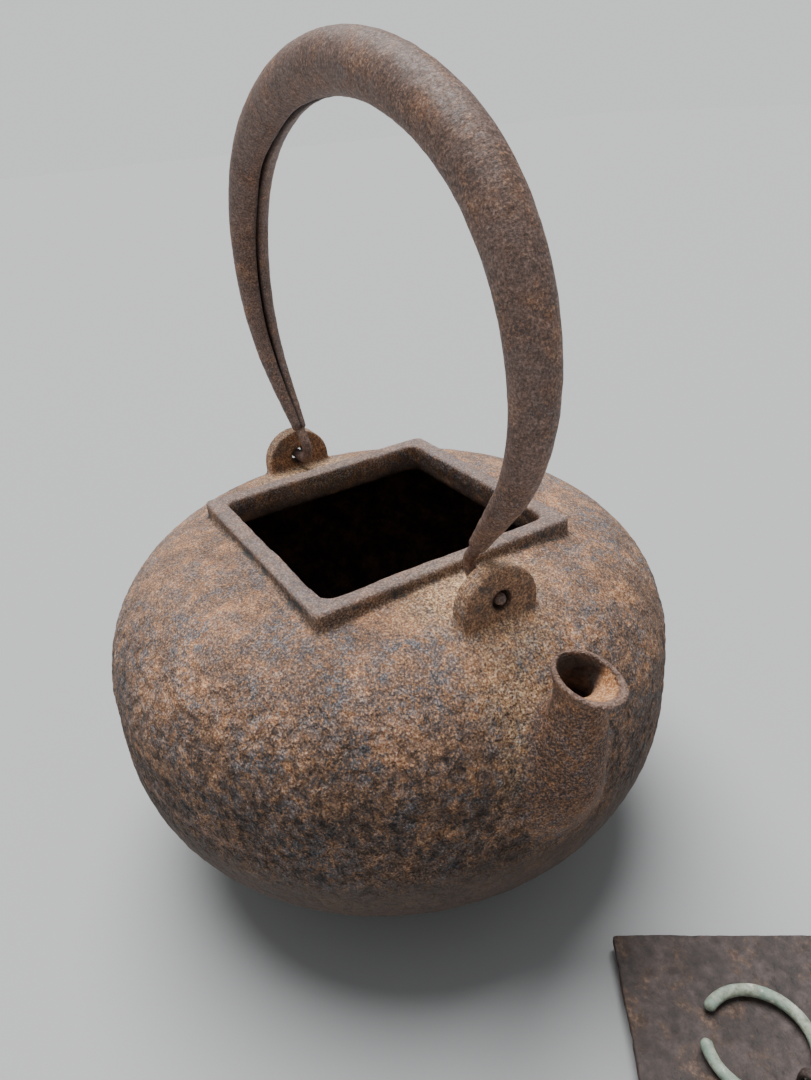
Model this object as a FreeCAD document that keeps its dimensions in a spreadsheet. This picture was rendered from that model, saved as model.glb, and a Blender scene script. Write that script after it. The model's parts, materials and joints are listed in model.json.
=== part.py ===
import FreeCAD, Part
import math
import os

import Sketcher
from FreeCAD import Placement, Rotation, Vector

# Cast iron kettle (Japanese tetsubin): a turned belly with a square mouth, a short steep
# spout, two half-round ears, a hollow rolled bail handle hooked into the ears, and a loose
# square lid with an open ring in a staple.
#
# Row frame, millimetres: origin at the centre of the flat base, +Z up, +X towards the spout.
# The handle hoop lies in the XZ plane and swings about X.

# ------------------------------------------------------------------ driving dimensions
DIMENSIONS = [
    # belly, a solid of revolution about Z
    ("belly_radius", 77.5, "largest outside radius"),
    ("equator_height", 48.0, "height of the largest radius above the base"),
    ("side_radius", 376.0, "arc of the almost upright side above the equator"),
    ("shoulder_radius", 32.6, "arc of the shoulder"),
    ("crown_radius", 323.0, "arc of the nearly flat crown"),
    ("crown_height", 99.0, "height the crown arc would reach on the axis"),
    ("lower_radius", 35.0, "arc below the equator"),
    ("bottom_radius", 70.3, "arc that runs in to the flat base"),
    ("bottom_centre_height", 67.3, "height of the bottom arc's centre"),
    ("wall", 3.5, "thickness of the casting"),
    ("seam_height", 52.5, "height of the mould's parting seam around the belly"),
    # square mouth
    ("mouth_outer_half", 36.1, "half the outside width of the mouth frame"),
    ("mouth_inner_half", 31.4, "half the clear width of the mouth"),
    ("rim_bottom", 91.0, "lower edge of the mouth frame, inside the belly"),
    ("rim_top", 99.3, "top face of the mouth frame"),
    ("mouth_outer_corner", 1.5, "outside corner rounding of the mouth frame"),
    ("mouth_inner_corner", 2.5, "inside corner rounding of the mouth frame"),
    # ears
    ("ear_position", 52.2, "distance of each ear's mid plane from the axis"),
    ("ear_thickness", 5.0, "thickness of an ear"),
    ("ear_radius", 9.9, "radius of the ear's round top"),
    ("ear_arc_height", 96.7, "height of the centre of that round top"),
    ("ear_root_height", 88.0, "where the ear's blank ends inside the belly"),
    ("ear_edge_rounding", 1.2, "rounding of the ear's outline"),
    ("hinge_height", 98.7, "height of the handle's hinge line"),
    ("ear_hole_radius", 2.3, "radius of the hole in an ear"),
    # handle hoop, centreline in the XZ plane
    ("hoop_top_height", 202.6, "height of the centreline at the top"),
    ("hoop_top_radius", 79.4, "centreline arc across the top"),
    ("hoop_top_angle", 31.8, "half angle of the top arc, degrees"),
    ("hoop_shoulder_radius", 49.4, "centreline arc from the top down to the widest point"),
    ("hoop_lower_radius", 44.0, "centreline arc below the widest point"),
    ("hoop_lower_angle", 36.8, "angle that the lower arc turns inwards, degrees"),
    ("hoop_leg", 17.8, "straight run below the lower arc"),
    ("tube_middle_radius", 6.3, "outside radius of the rolled tube at the top"),
    ("tube_end_radius", 2.0, "outside radius at its ends"),
    ("tube_taper", 2.6, "exponent of the taper along the tube"),
    ("tube_sheet", 1.0, "thickness of the rolled sheet"),
    ("seam_gap", 0.8, "width of the open seam on the inner side"),
    # hooks forged on the handle's ends
    ("hook_radius", 1.55, "radius of the hook's rod"),
    ("hook_bend", 4.0, "centreline radius of the hook's bend"),
    ("hook_reach", 55.3, "distance of the hook's tip from the axis"),
    # lid
    ("lid_centre_along", 131.0, "lid centre, X"),
    ("lid_centre_across", 22.0, "lid centre, Y"),
    ("lid_turn", 55.6, "turn of the lid about Z, degrees"),
    ("lid_half", 35.8, "half the width of the lid plate"),
    ("lid_thickness", 2.5, "thickness of the lid plate"),
    ("lid_corner", 1.2, "corner rounding of the lid plate"),
    ("lip_outer_half", 30.8, "half the outside width of the locating lip"),
    ("lip_inner_half", 28.2, "half the inside width of the locating lip"),
    ("lip_height", 3.0, "how far the lip stands below the plate"),
    # staple and ring of the lid
    ("ring_turn", 134.0, "direction in which the ring lies, from the lid's own X, degrees"),
    ("eye_clear_radius", 1.9, "inside radius of the staple's arch"),
    ("eye_strip", 1.2, "thickness of the staple's strip"),
    ("eye_width", 2.2, "width of the staple's strip"),
    ("eye_clinch", 4.0, "length of each leg bent over below the plate"),
    ("ring_radius", 11.75, "centreline radius of the ring"),
    ("ring_wire", 1.5, "radius of the ring's wire"),
    ("ring_gap", 36.0, "opening of the ring, degrees"),
    ("ring_gap_direction", 26.0, "where the opening is, degrees from the ring's own X"),
]

# Spout sections from inside the belly up to the mouth: height, distance from the axis, half
# length along X, half width along Y, forward tilt in degrees, and wall thickness there.
SPOUT_SECTIONS = {
    "root": (50.0, 64.0, 10.5, 12.0, 38.0, 3.6),
    "foot": (60.0, 71.0, 10.5, 10.6, 26.0, 3.4),
    "waist": (71.0, 76.2, 8.7, 8.6, 16.0, 2.8),
    "upper": (81.0, 79.2, 6.9, 7.0, 11.0, 2.3),
    "neck": (89.5, 80.6, 6.0, 5.6, 8.0, 1.9),
    "mouth": (95.6, 81.6, 8.1, 5.9, 9.0, 1.5),
}
SPOUT_PROPERTIES = ("height", "reach", "length", "width", "tilt", "wall")

HOOP_STATIONS = 21     # circles that the handle's skin is lofted through
HOLLOW_LIMIT = 0.80    # share of the handle's half length up to which it is hollow

doc = FreeCAD.newDocument("Kettle")
sheet = doc.addObject("Spreadsheet::Sheet", "Dimensions")


def fill_sheet():
    """Put each driving dimension in a row of its own, under its alias."""
    rows = list(DIMENSIONS)
    for station, values in SPOUT_SECTIONS.items():
        for what, value in zip(SPOUT_PROPERTIES, values):
            rows.append((f"spout_{station}_{what}", value, f"{what} of the spout's {station}"))
    for row, (alias, value, note) in enumerate(rows, start=1):
        sheet.set(f"A{row}", note)
        sheet.set(f"B{row}", str(value))
        sheet.setAlias(f"B{row}", alias)
    doc.recompute()


def cell(alias):
    """The number that the sheet holds under this alias."""
    return float(sheet.get(alias))


# ------------------------------------------------------------------ helpers
def origin_plane(body, role):
    """The body's own origin plane with this role."""
    return next(f for f in body.Origin.OriginFeatures if f.Role == role)


def new_body(name):
    """An empty body with this label."""
    body = doc.addObject("PartDesign::Body", name)
    body.Label = name
    return body


def new_sketch(body, role, name, offset=None):
    """A sketch on one of the body's origin planes, moved along its normal by an expression."""
    sketch = body.newObject("Sketcher::SketchObject", name)
    sketch.AttachmentSupport = [(origin_plane(body, role), "")]
    sketch.MapMode = "FlatFace"
    if offset:
        sketch.setExpression(".AttachmentOffset.Base.z", offset)
    return sketch


def size(sketch, expression, kind, *where):
    """Add one dimension to a sketch and bind it to the sheet."""
    index = sketch.addConstraint(Sketcher.Constraint(kind, *where))
    sketch.setExpression(f"Constraints[{index}]", expression)


def pad(body, sketch, name, length, symmetric=False):
    """Pad a sketch by an expression, to one side or to both."""
    feature = body.newObject("PartDesign::Pad", name)
    feature.Profile = sketch
    feature.setExpression("Length", length)
    feature.Midplane = symmetric
    body.Tip = feature
    doc.recompute()
    return feature


def boolean(kind, name, base, tool):
    """A Part::Cut or Part::Common of two objects."""
    result = doc.addObject(kind, name)
    result.Label = name
    result.Base = base
    result.Tool = tool
    return result


def upright_edges(shape):
    """Names of the straight edges that run along Z."""
    names = []
    for number, edge in enumerate(shape.Edges, start=1):
        first, last = (v.Point for v in (edge.Vertexes[0], edge.Vertexes[-1]))
        run = last - first
        if run.Length > 0 and abs(run.z) > 0.999 * run.Length:
            names.append(f"Edge{number}")
    return names


def circles_meet(centre_a, radius_a, centre_b, radius_b, outermost=True):
    """Where two circles cross, on the side further from the axis or nearer to it."""
    span = centre_b - centre_a
    along = (radius_a**2 - radius_b**2 + span.Length**2) / (2 * span.Length)
    across = math.sqrt(radius_a**2 - along**2)
    unit = span / span.Length
    side = Vector(-unit.y, unit.x, 0)
    foot = centre_a + unit * along
    points = (foot + side * across, foot - side * across)
    return max(points, key=lambda p: p.x) if outermost else min(points, key=lambda p: p.x)


def arc(centre, radius, first, last):
    """An arc in the sketch plane between two directions, in radians."""
    return Part.ArcOfCircle(Part.Circle(centre, Vector(0, 0, 1), radius), first, last)


# ------------------------------------------------------------------ belly
def turned_solid(name, inset):
    """The belly's solid of revolution, drawn in by `inset`: "0" or the wall's cell.

    Above the equator: side, shoulder and crown arcs. Below it: lower and bottom arcs.
    """
    drawn_in = 0.0 if inset == "0" else cell("wall")
    belly = cell("belly_radius")
    equator = cell("equator_height")
    radii = {
        key: cell(f"{key}_radius") - drawn_in
        for key in ("side", "shoulder", "crown", "lower", "bottom")
    }
    side_centre = Vector(belly - cell("side_radius"), equator, 0)
    crown_centre = Vector(0, cell("crown_height") - cell("crown_radius"), 0)
    shoulder_centre = circles_meet(
        side_centre, radii["side"] - radii["shoulder"],
        crown_centre, radii["crown"] - radii["shoulder"],
    )
    lower_centre = Vector(belly - cell("lower_radius"), equator, 0)
    growth = radii["bottom"] - radii["lower"]
    rise = cell("bottom_centre_height") - equator
    bottom_centre = lower_centre + Vector(-math.sqrt(growth**2 - rise**2), rise, 0)

    def heading(start, end):
        return math.atan2(end.y - start.y, end.x - start.x)

    side_end = heading(side_centre, shoulder_centre)
    shoulder_end = heading(crown_centre, shoulder_centre)
    lower_start = heading(bottom_centre, lower_centre)
    floor = drawn_in
    bottom_start = math.asin((floor - bottom_centre.y) / radii["bottom"])
    base_x = bottom_centre.x + radii["bottom"] * math.cos(bottom_start)
    crown_top = crown_centre.y + radii["crown"]

    body = new_body(name)
    sketch = new_sketch(body, "XZ_Plane", f"{name}_profile")
    side, shoulder, crown, lower, bottom, base, axis = range(7)
    sketch.addGeometry([
        arc(side_centre, radii["side"], 0, side_end),
        arc(shoulder_centre, radii["shoulder"], side_end, shoulder_end),
        arc(crown_centre, radii["crown"], shoulder_end, math.pi / 2),
        arc(lower_centre, radii["lower"], lower_start, 0),
        arc(bottom_centre, radii["bottom"], bottom_start, lower_start),
        Part.LineSegment(Vector(0, floor, 0), Vector(base_x, floor, 0)),
        Part.LineSegment(Vector(0, floor, 0), Vector(0, crown_top, 0)),
    ])
    start, end, centre = 1, 2, 3
    joined = [
        ("Tangent", side, end, shoulder, start),
        ("Tangent", shoulder, end, crown, start),
        ("Tangent", lower, start, bottom, end),
        ("Coincident", side, start, lower, end),
        ("Coincident", bottom, start, base, end),
        ("Coincident", base, start, axis, start),
        ("Coincident", axis, end, crown, end),
        ("Horizontal", base),
        ("PointOnObject", base, start, -2),
        ("PointOnObject", axis, end, -2),
        ("PointOnObject", crown, centre, -2),
    ]
    for constraint in joined:
        sketch.addConstraint(Sketcher.Constraint(*constraint))
    for index, key in ((side, "side"), (shoulder, "shoulder"), (crown, "crown"),
                       (lower, "lower"), (bottom, "bottom")):
        size(sketch, f"Dimensions.{key}_radius - {inset_of(inset)}", "Radius", index, radii[key])
    size(sketch, f"Dimensions.belly_radius - {inset_of(inset)}",
         "DistanceX", -1, 1, side, start, belly - drawn_in)
    size(sketch, "Dimensions.equator_height", "DistanceY", -1, 1, side, start, equator)
    size(sketch, "Dimensions.equator_height", "DistanceY", -1, 1, side, centre, equator)
    size(sketch, "Dimensions.equator_height", "DistanceY", -1, 1, lower, centre, equator)
    size(sketch, "Dimensions.bottom_centre_height",
         "DistanceY", -1, 1, bottom, centre, bottom_centre.y)
    size(sketch, f"Dimensions.crown_height - {inset_of(inset)}",
         "DistanceY", -1, 1, axis, end, crown_top)
    if inset == "0":
        sketch.addConstraint(Sketcher.Constraint("PointOnObject", base, start, -1))
    else:
        size(sketch, inset_of(inset), "DistanceY", -1, 1, base, start, floor)
    turned = body.newObject("PartDesign::Revolution", f"{name}_turned")
    turned.Profile = sketch
    turned.ReferenceAxis = (sketch, ["V_Axis"])
    turned.Angle = 360
    body.Tip = turned
    doc.recompute()
    return body


def inset_of(inset):
    """The inset as an expression."""
    return "0" if inset == "0" else f"Dimensions.{inset}"


def square_post(name, half, bottom, top, corner=None):
    """A square post about the Z axis between two heights, all given by expressions."""
    body = new_body(name)
    sketch = new_sketch(body, "XY_Plane", f"{name}_outline", bottom)
    guess = 30.0
    corners = [Vector(-guess, -guess, 0), Vector(guess, -guess, 0),
               Vector(guess, guess, 0), Vector(-guess, guess, 0)]
    for number in range(4):
        sketch.addGeometry(Part.LineSegment(corners[number], corners[(number + 1) % 4]))
    for number in range(4):
        follower = (number + 1) % 4
        sketch.addConstraint(Sketcher.Constraint("Coincident", number, 2, follower, 1))
        level = "Horizontal" if number % 2 == 0 else "Vertical"
        sketch.addConstraint(Sketcher.Constraint(level, number))
    size(sketch, f"2 * ({half})", "DistanceX", 0, 1, 0, 2, 2 * guess)
    size(sketch, f"2 * ({half})", "DistanceY", 1, 1, 1, 2, 2 * guess)
    size(sketch, half, "DistanceX", -1, 1, 1, 1, guess)
    size(sketch, half, "DistanceY", -1, 1, 2, 1, guess)
    block = pad(body, sketch, f"{name}_block", f"{top} - ({bottom})")
    if corner:
        rounding = body.newObject("PartDesign::Fillet", f"{name}_corners")
        rounding.Base = (block, upright_edges(block.Shape))
        rounding.setExpression("Radius", corner)
        body.Tip = rounding
        doc.recompute()
    return body


# ------------------------------------------------------------------ spout
def spout_loft(name, share_of_wall):
    """The spout's skin, drawn in by a share of the wall: 0 outside, 1 for the bore."""
    sections = []
    for station in SPOUT_SECTIONS:
        ellipse = doc.addObject("Part::Ellipse", f"{name}_{station}")
        key = f"Dimensions.spout_{station}"
        length = cell(f"spout_{station}_length")
        width = cell(f"spout_{station}_width")
        lengthwise = length >= width
        major, minor = ("length", "width") if lengthwise else ("width", "length")
        ellipse.setExpression("MajorRadius", f"{key}_{major} - {share_of_wall} * {key}_wall")
        ellipse.setExpression("MinorRadius", f"{key}_{minor} - {share_of_wall} * {key}_wall")
        tilt = Rotation(Vector(0, 1, 0), cell(f"spout_{station}_tilt"))
        turn = Rotation(Vector(0, 0, 1), 0 if lengthwise else 90)
        ellipse.Placement = Placement(Vector(0, 0, 0), tilt * turn)
        ellipse.setExpression("Placement.Base.x", f"{key}_reach")
        ellipse.setExpression("Placement.Base.z", f"{key}_height")
        sections.append(ellipse)
    loft = doc.addObject("Part::Loft", name)
    loft.Sections = sections
    loft.Solid = True
    return loft


# ------------------------------------------------------------------ ears
def ear_blank():
    """The plate of the front ear, with its hole, before it is fitted to the belly."""
    body = new_body("ear_blank")
    start = "Dimensions.ear_position - Dimensions.ear_thickness / 2"
    sketch = new_sketch(body, "YZ_Plane", "ear_outline", start)
    radius = cell("ear_radius")
    centre_height = cell("ear_arc_height")
    root = cell("ear_root_height")
    top, right, foot, left, hole = range(5)
    sketch.addGeometry([
        arc(Vector(0, centre_height, 0), radius, 0, math.pi),
        Part.LineSegment(Vector(radius, root, 0), Vector(radius, centre_height, 0)),
        Part.LineSegment(Vector(-radius, root, 0), Vector(radius, root, 0)),
        Part.LineSegment(Vector(-radius, centre_height, 0), Vector(-radius, root, 0)),
        Part.Circle(Vector(0, cell("hinge_height"), 0), Vector(0, 0, 1), cell("ear_hole_radius")),
    ])
    for constraint in (
        ("Tangent", top, 1, right, 2), ("Tangent", top, 2, left, 1),
        ("Coincident", right, 1, foot, 2), ("Coincident", left, 2, foot, 1),
        ("Horizontal", foot), ("Vertical", right), ("PointOnObject", top, 3, -2),
        ("PointOnObject", hole, 3, -2),
    ):
        sketch.addConstraint(Sketcher.Constraint(*constraint))
    size(sketch, "Dimensions.ear_radius", "Radius", top, radius)
    size(sketch, "Dimensions.ear_arc_height", "DistanceY", -1, 1, top, 3, centre_height)
    size(sketch, "Dimensions.ear_root_height", "DistanceY", -1, 1, right, 1, root)
    size(sketch, "Dimensions.hinge_height", "DistanceY", -1, 1, hole, 3, cell("hinge_height"))
    size(sketch, "Dimensions.ear_hole_radius", "Radius", hole, cell("ear_hole_radius"))
    plate = pad(body, sketch, "ear_plate", "Dimensions.ear_thickness")
    outline = [
        f"Edge{number}" for number, edge in enumerate(plate.Shape.Edges, start=1)
        if abs(edge.BoundBox.ZMax - centre_height - radius) < 0.01 and edge.BoundBox.XLength < 0.01
    ]
    rounding = body.newObject("PartDesign::Fillet", "ear_rounding")
    rounding.Base = (plate, outline)
    rounding.setExpression("Radius", "Dimensions.ear_edge_rounding")
    body.Tip = rounding
    doc.recompute()
    return body


def mirrored(name, source):
    """The same piece on the rear side, mirrored in the YZ plane."""
    mirror = doc.addObject("Part::Mirroring", name)
    mirror.Label = name
    mirror.Source = source
    mirror.Normal = (1, 0, 0)
    mirror.Base = (0, 0, 0)
    return mirror


# ------------------------------------------------------------------ handle
def hoop_arcs():
    """Centreline of the front half hoop: (centre, radius, first, last) from the top down.

    Angles are clockwise from straight up, in radians.
    """
    top_angle = math.radians(cell("hoop_top_angle"))
    top_radius = cell("hoop_top_radius")
    shoulder_radius = cell("hoop_shoulder_radius")
    lower_radius = cell("hoop_lower_radius")
    top_centre = Vector(0, 0, cell("hoop_top_height") - top_radius)
    shoulder_centre = top_centre + ray(top_angle) * (top_radius - shoulder_radius)
    lower_centre = shoulder_centre + ray(math.pi / 2) * (shoulder_radius - lower_radius)
    last = math.pi / 2 + math.radians(cell("hoop_lower_angle"))
    return [
        (top_centre, top_radius, 0.0, top_angle),
        (shoulder_centre, shoulder_radius, top_angle, math.pi / 2),
        (lower_centre, lower_radius, math.pi / 2, last),
    ]


def ray(angle):
    """Unit vector in the XZ plane, clockwise from straight up."""
    return Vector(math.sin(angle), 0, math.cos(angle))


def hoop_length():
    """Length of half the hoop's centreline."""
    return sum(r * (last - first) for _, r, first, last in hoop_arcs()) + cell("hoop_leg")


def hoop_point(share):
    """Point and heading at a share of the half length; a negative share is the rear half."""
    left = abs(share) * hoop_length()
    for centre, radius, first, last in hoop_arcs():
        angle = first + left / radius
        if angle <= last:
            break
        left -= radius * (last - first)
    else:
        angle = last
        centre = centre + ray(last + math.pi / 2) * left
    point = centre + ray(angle) * radius
    heading = ray(angle + math.pi / 2)
    if share < 0:
        return Vector(-point.x, 0, point.z), Vector(heading.x, 0, -heading.z)
    return point, heading


def hoop_loft(name, limit, inset):
    """Loft through circles along the hoop, up to a share of its half length each way."""
    sections = []
    for number in range(HOOP_STATIONS):
        share = limit * (2 * number / (HOOP_STATIONS - 1) - 1)
        point, heading = hoop_point(share)
        circle = doc.addObject("Part::Circle", f"{name}_{number}")
        taper = f"(1 - {abs(share):.6f} ^ Dimensions.tube_taper)"
        swell = f"(Dimensions.tube_middle_radius - Dimensions.tube_end_radius) * {taper}"
        circle.setExpression("Radius", f"Dimensions.tube_end_radius + {swell} - {inset}")
        tilt = math.degrees(math.atan2(heading.x, heading.z))
        circle.Placement = Placement(point, Rotation(Vector(0, 1, 0), tilt))
        sections.append(circle)
    loft = doc.addObject("Part::Loft", name)
    loft.Sections = sections
    loft.Solid = True
    return loft


def seam_cutter():
    """A thin plate that fills the hoop up to its centreline: it opens the tube's inner side.

    Its outline is the hoop's own arcs, which no primitive has, so its shape is set here.
    """
    edges = []
    for side in (-1, 1):
        for centre, radius, first, last in hoop_arcs():
            marks = [centre + ray(first + (last - first) * step / 2) * radius for step in range(3)]
            marks = [Vector(side * p.x, 0, p.z) for p in marks]
            edges.append(Part.Arc(*marks).toShape())
    front = hoop_point(1 - cell("hoop_leg") / hoop_length())[0]
    edges.append(Part.LineSegment(Vector(-front.x, 0, front.z), front).toShape())
    outline = Part.Wire(Part.__sortEdges__(edges))
    plate = Part.Face(outline).extrude(Vector(0, cell("seam_gap"), 0))
    cutter = doc.addObject("Part::Feature", "seam_cutter")
    cutter.Shape = plate
    cutter.Placement = Placement(Vector(0, -cell("seam_gap") / 2, 0), Rotation())
    return cutter


def front_hook():
    """Rod from the tube's front end, bent outwards through the ear's hole."""
    body = new_body("front_hook")
    tube_end, heading = hoop_point(1.0)
    hinge = cell("hinge_height")
    bend = cell("hook_bend")
    turned = math.radians(cell("hoop_lower_angle"))
    bend_top = hinge + bend * (1 + math.sin(turned))
    run = (tube_end.z - bend_top) / -heading.z
    start_bend = Vector(tube_end.x + heading.x * run, bend_top, 0)
    bend_centre = Vector(start_bend.x + bend * math.cos(turned), hinge + bend, 0)
    tip = Vector(cell("hook_reach"), hinge, 0)
    path = new_sketch(body, "XZ_Plane", "hook_path")
    path.addGeometry([
        Part.LineSegment(Vector(tube_end.x, tube_end.z, 0), start_bend),
        arc(bend_centre, bend, math.pi - turned, 1.5 * math.pi),
        Part.LineSegment(Vector(bend_centre.x, hinge, 0), tip),
    ])
    leg, curve, straight = range(3)
    for constraint in (("Tangent", leg, 2, curve, 1), ("Tangent", curve, 2, straight, 1),
                       ("Horizontal", straight)):
        path.addConstraint(Sketcher.Constraint(*constraint))
    size(path, "Dimensions.hook_bend", "Radius", curve, bend)
    size(path, "Dimensions.hinge_height", "DistanceY", -1, 1, straight, 2, hinge)
    size(path, "Dimensions.hook_reach", "DistanceX", -1, 1, straight, 2, tip.x)
    path.addConstraint(Sketcher.Constraint("DistanceX", -1, 1, leg, 1, tube_end.x))
    path.addConstraint(Sketcher.Constraint("DistanceY", -1, 1, leg, 1, tube_end.z))
    section = new_sketch(body, "YZ_Plane", "hook_section", "Dimensions.hook_reach")
    section.addGeometry(Part.Circle(Vector(0, hinge, 0), Vector(0, 0, 1), cell("hook_radius")))
    section.addConstraint(Sketcher.Constraint("PointOnObject", 0, 3, -2))
    size(section, "Dimensions.hinge_height", "DistanceY", -1, 1, 0, 3, hinge)
    size(section, "Dimensions.hook_radius", "Radius", 0, cell("hook_radius"))
    pipe = body.newObject("PartDesign::AdditivePipe", "hook_rod")
    pipe.Profile = section
    pipe.Spine = (path, ["Edge1", "Edge2", "Edge3"])
    body.Tip = pipe
    doc.recompute()
    return body


# ------------------------------------------------------------------ lid
def place_on_lid(piece, extra_turn="0"):
    """Move a piece made about the origin to where the lid lies, turned by an extra angle."""
    piece.Placement = Placement(Vector(0, 0, 0), Rotation(Vector(0, 0, 1), 1))
    piece.setExpression("Placement.Base.x", "Dimensions.lid_centre_along")
    piece.setExpression("Placement.Base.y", "Dimensions.lid_centre_across")
    piece.setExpression("Placement.Rotation.Angle", f"Dimensions.lid_turn + {extra_turn}")


def lid_eye():
    """Staple: an arch over the ring, two legs through the plate, and their clinched ends."""
    body = new_body("lid_eye")
    clear = cell("eye_clear_radius")
    outer = clear + cell("eye_strip")
    plate_bottom = cell("lip_height")
    arch_height = plate_bottom + cell("lid_thickness") + clear
    below = plate_bottom - cell("eye_strip")
    toe = outer + cell("eye_clinch")
    sketch = new_sketch(body, "XZ_Plane", "staple_outline")
    half = [
        (Vector(outer, arch_height, 0), Vector(outer, plate_bottom, 0)),
        (Vector(outer, plate_bottom, 0), Vector(toe, plate_bottom, 0)),
        (Vector(toe, plate_bottom, 0), Vector(toe, below, 0)),
        (Vector(toe, below, 0), Vector(clear, below, 0)),
        (Vector(clear, below, 0), Vector(clear, arch_height, 0)),
    ]
    centre = Vector(0, arch_height, 0)
    sketch.addGeometry([arc(centre, outer, 0, math.pi), arc(centre, clear, 0, math.pi)])
    for side in (1, -1):
        for start, end in half:
            sketch.addGeometry(Part.LineSegment(Vector(side * start.x, start.y, 0),
                                                Vector(side * end.x, end.y, 0)))
    outer_arc, inner_arc = 0, 1
    for first_line, outer_end in ((2, 1), (7, 2)):
        for line in range(first_line, first_line + 4):
            sketch.addConstraint(Sketcher.Constraint("Coincident", line, 2, line + 1, 1))
        for number, level in enumerate(("Vertical", "Horizontal", "Vertical", "Horizontal",
                                        "Vertical")):
            sketch.addConstraint(Sketcher.Constraint(level, first_line + number))
        last = first_line + 4
        sketch.addConstraint(Sketcher.Constraint("Coincident", first_line, 1, outer_arc, outer_end))
        sketch.addConstraint(Sketcher.Constraint("Coincident", last, 2, inner_arc, outer_end))
        size(sketch, "Dimensions.lip_height", "DistanceY", -1, 1, first_line, 2, plate_bottom)
        size(sketch, "Dimensions.eye_strip",
             "DistanceY", first_line + 2, 2, first_line + 2, 1, plate_bottom - below)
    size(sketch, "Dimensions.eye_clinch", "DistanceX", 3, 1, 3, 2, toe - outer)
    size(sketch, "Dimensions.eye_clinch", "DistanceX", 8, 2, 8, 1, toe - outer)
    for arc_number, radius, expression in (
        (outer_arc, outer, "Dimensions.eye_clear_radius + Dimensions.eye_strip"),
        (inner_arc, clear, "Dimensions.eye_clear_radius"),
    ):
        sketch.addConstraint(Sketcher.Constraint("PointOnObject", arc_number, 3, -2))
        size(sketch, expression, "Radius", arc_number, radius)
        size(sketch, "Dimensions.lip_height + Dimensions.lid_thickness + Dimensions.eye_clear_radius",
             "DistanceY", -1, 1, arc_number, 3, arch_height)
        for end in (1, 2):
            sketch.addConstraint(Sketcher.Constraint("Horizontal", arc_number, 3, arc_number, end))
    pad(body, sketch, "staple_strip", "Dimensions.eye_width", symmetric=True)
    place_on_lid(body, "Dimensions.ring_turn")
    return body


def lid_ring():
    """Open ring that passes through the staple and lies flat over the plate."""
    ring = doc.addObject("Part::Torus", "ring_wire")
    ring.setExpression("Radius1", "Dimensions.ring_radius")
    ring.setExpression("Radius2", "Dimensions.ring_wire")
    ring.setExpression("Angle3", "360 - Dimensions.ring_gap")
    ring.Placement = Placement(Vector(0, 0, 0), Rotation(Vector(0, 0, 1), 1))
    ring.setExpression("Placement.Base.x", "Dimensions.ring_radius")
    ring.setExpression(
        "Placement.Base.z",
        "Dimensions.lip_height + Dimensions.lid_thickness + Dimensions.eye_clear_radius",
    )
    ring.setExpression(
        "Placement.Rotation.Angle", "Dimensions.ring_gap_direction + Dimensions.ring_gap / 2"
    )
    placed = doc.addObject("Part::Compound", "lid_ring")
    placed.Links = [ring]
    place_on_lid(placed, "Dimensions.ring_turn")
    return placed


# ------------------------------------------------------------------ the kettle
fill_sheet()

belly_solid = turned_solid("belly_solid", "0")
belly_hollow = turned_solid("belly_hollow", "wall")
mouth_cutter = square_post(
    "mouth_cutter", "Dimensions.mouth_outer_half", "Dimensions.rim_bottom - 10",
    "Dimensions.crown_height + 10", "Dimensions.mouth_outer_corner",
)
rim_block = square_post(
    "rim_block", "Dimensions.mouth_outer_half", "Dimensions.rim_bottom",
    "Dimensions.rim_top", "Dimensions.mouth_outer_corner",
)
rim_opening = square_post(
    "rim_opening", "Dimensions.mouth_inner_half", "Dimensions.rim_bottom - 1",
    "Dimensions.rim_top + 1", "Dimensions.mouth_inner_corner",
)
spout_skin = spout_loft("spout_skin", 0)
spout_bore = spout_loft("spout_bore", 1)

hollow_shell = boolean("Part::Cut", "hollow_shell", belly_solid, belly_hollow)
open_shell = boolean("Part::Cut", "open_shell", hollow_shell, mouth_cutter)
bored_shell = boolean("Part::Cut", "bored_shell", open_shell, spout_bore)
below_seam = doc.addObject("Part::Cylinder", "below_seam")
below_seam.setExpression("Radius", "2 * Dimensions.belly_radius")
below_seam.setExpression("Height", "2 * Dimensions.seam_height")
below_seam.setExpression("Placement.Base.z", "-Dimensions.seam_height")
lower_shell = boolean("Part::Common", "lower_shell", bored_shell, below_seam)
upper_shell = boolean("Part::Cut", "upper_shell", bored_shell, below_seam)
mouth_rim = boolean("Part::Cut", "mouth_rim", rim_block, rim_opening)
spout_tube = boolean("Part::Cut", "spout_tube", spout_skin, spout_bore)
spout = boolean("Part::Cut", "spout", spout_tube, belly_solid)

front_lug = boolean("Part::Cut", "front_lug", ear_blank(), belly_solid)
rear_lug = mirrored("rear_lug", front_lug)

handle_skin = hoop_loft("handle_skin", 1.0, "0")
handle_hollow = hoop_loft("handle_hollow", HOLLOW_LIMIT, "Dimensions.tube_sheet")
rolled_tube = boolean("Part::Cut", "rolled_tube", handle_skin, handle_hollow)
handle_tube = boolean("Part::Cut", "handle_tube", rolled_tube, seam_cutter())
hook_front = front_hook()
hook_rear = mirrored("rear_hook", hook_front)

plate_block = square_post(
    "plate_block", "Dimensions.lid_half", "Dimensions.lip_height",
    "Dimensions.lip_height + Dimensions.lid_thickness", "Dimensions.lid_corner",
)
lip_block = square_post(
    "lip_block", "Dimensions.lip_outer_half", "0", "Dimensions.lip_height",
    "Dimensions.lid_corner",
)
lip_opening = square_post(
    "lip_opening", "Dimensions.lip_inner_half", "-1", "Dimensions.lip_height + 1",
)
for block in (plate_block, lip_block, lip_opening):
    place_on_lid(block)
staple = lid_eye()
lid_plate = boolean("Part::Cut", "lid_plate", plate_block, staple)
lid_lip = boolean("Part::Cut", "lid_lip", lip_block, lip_opening)
ring = lid_ring()

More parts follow.
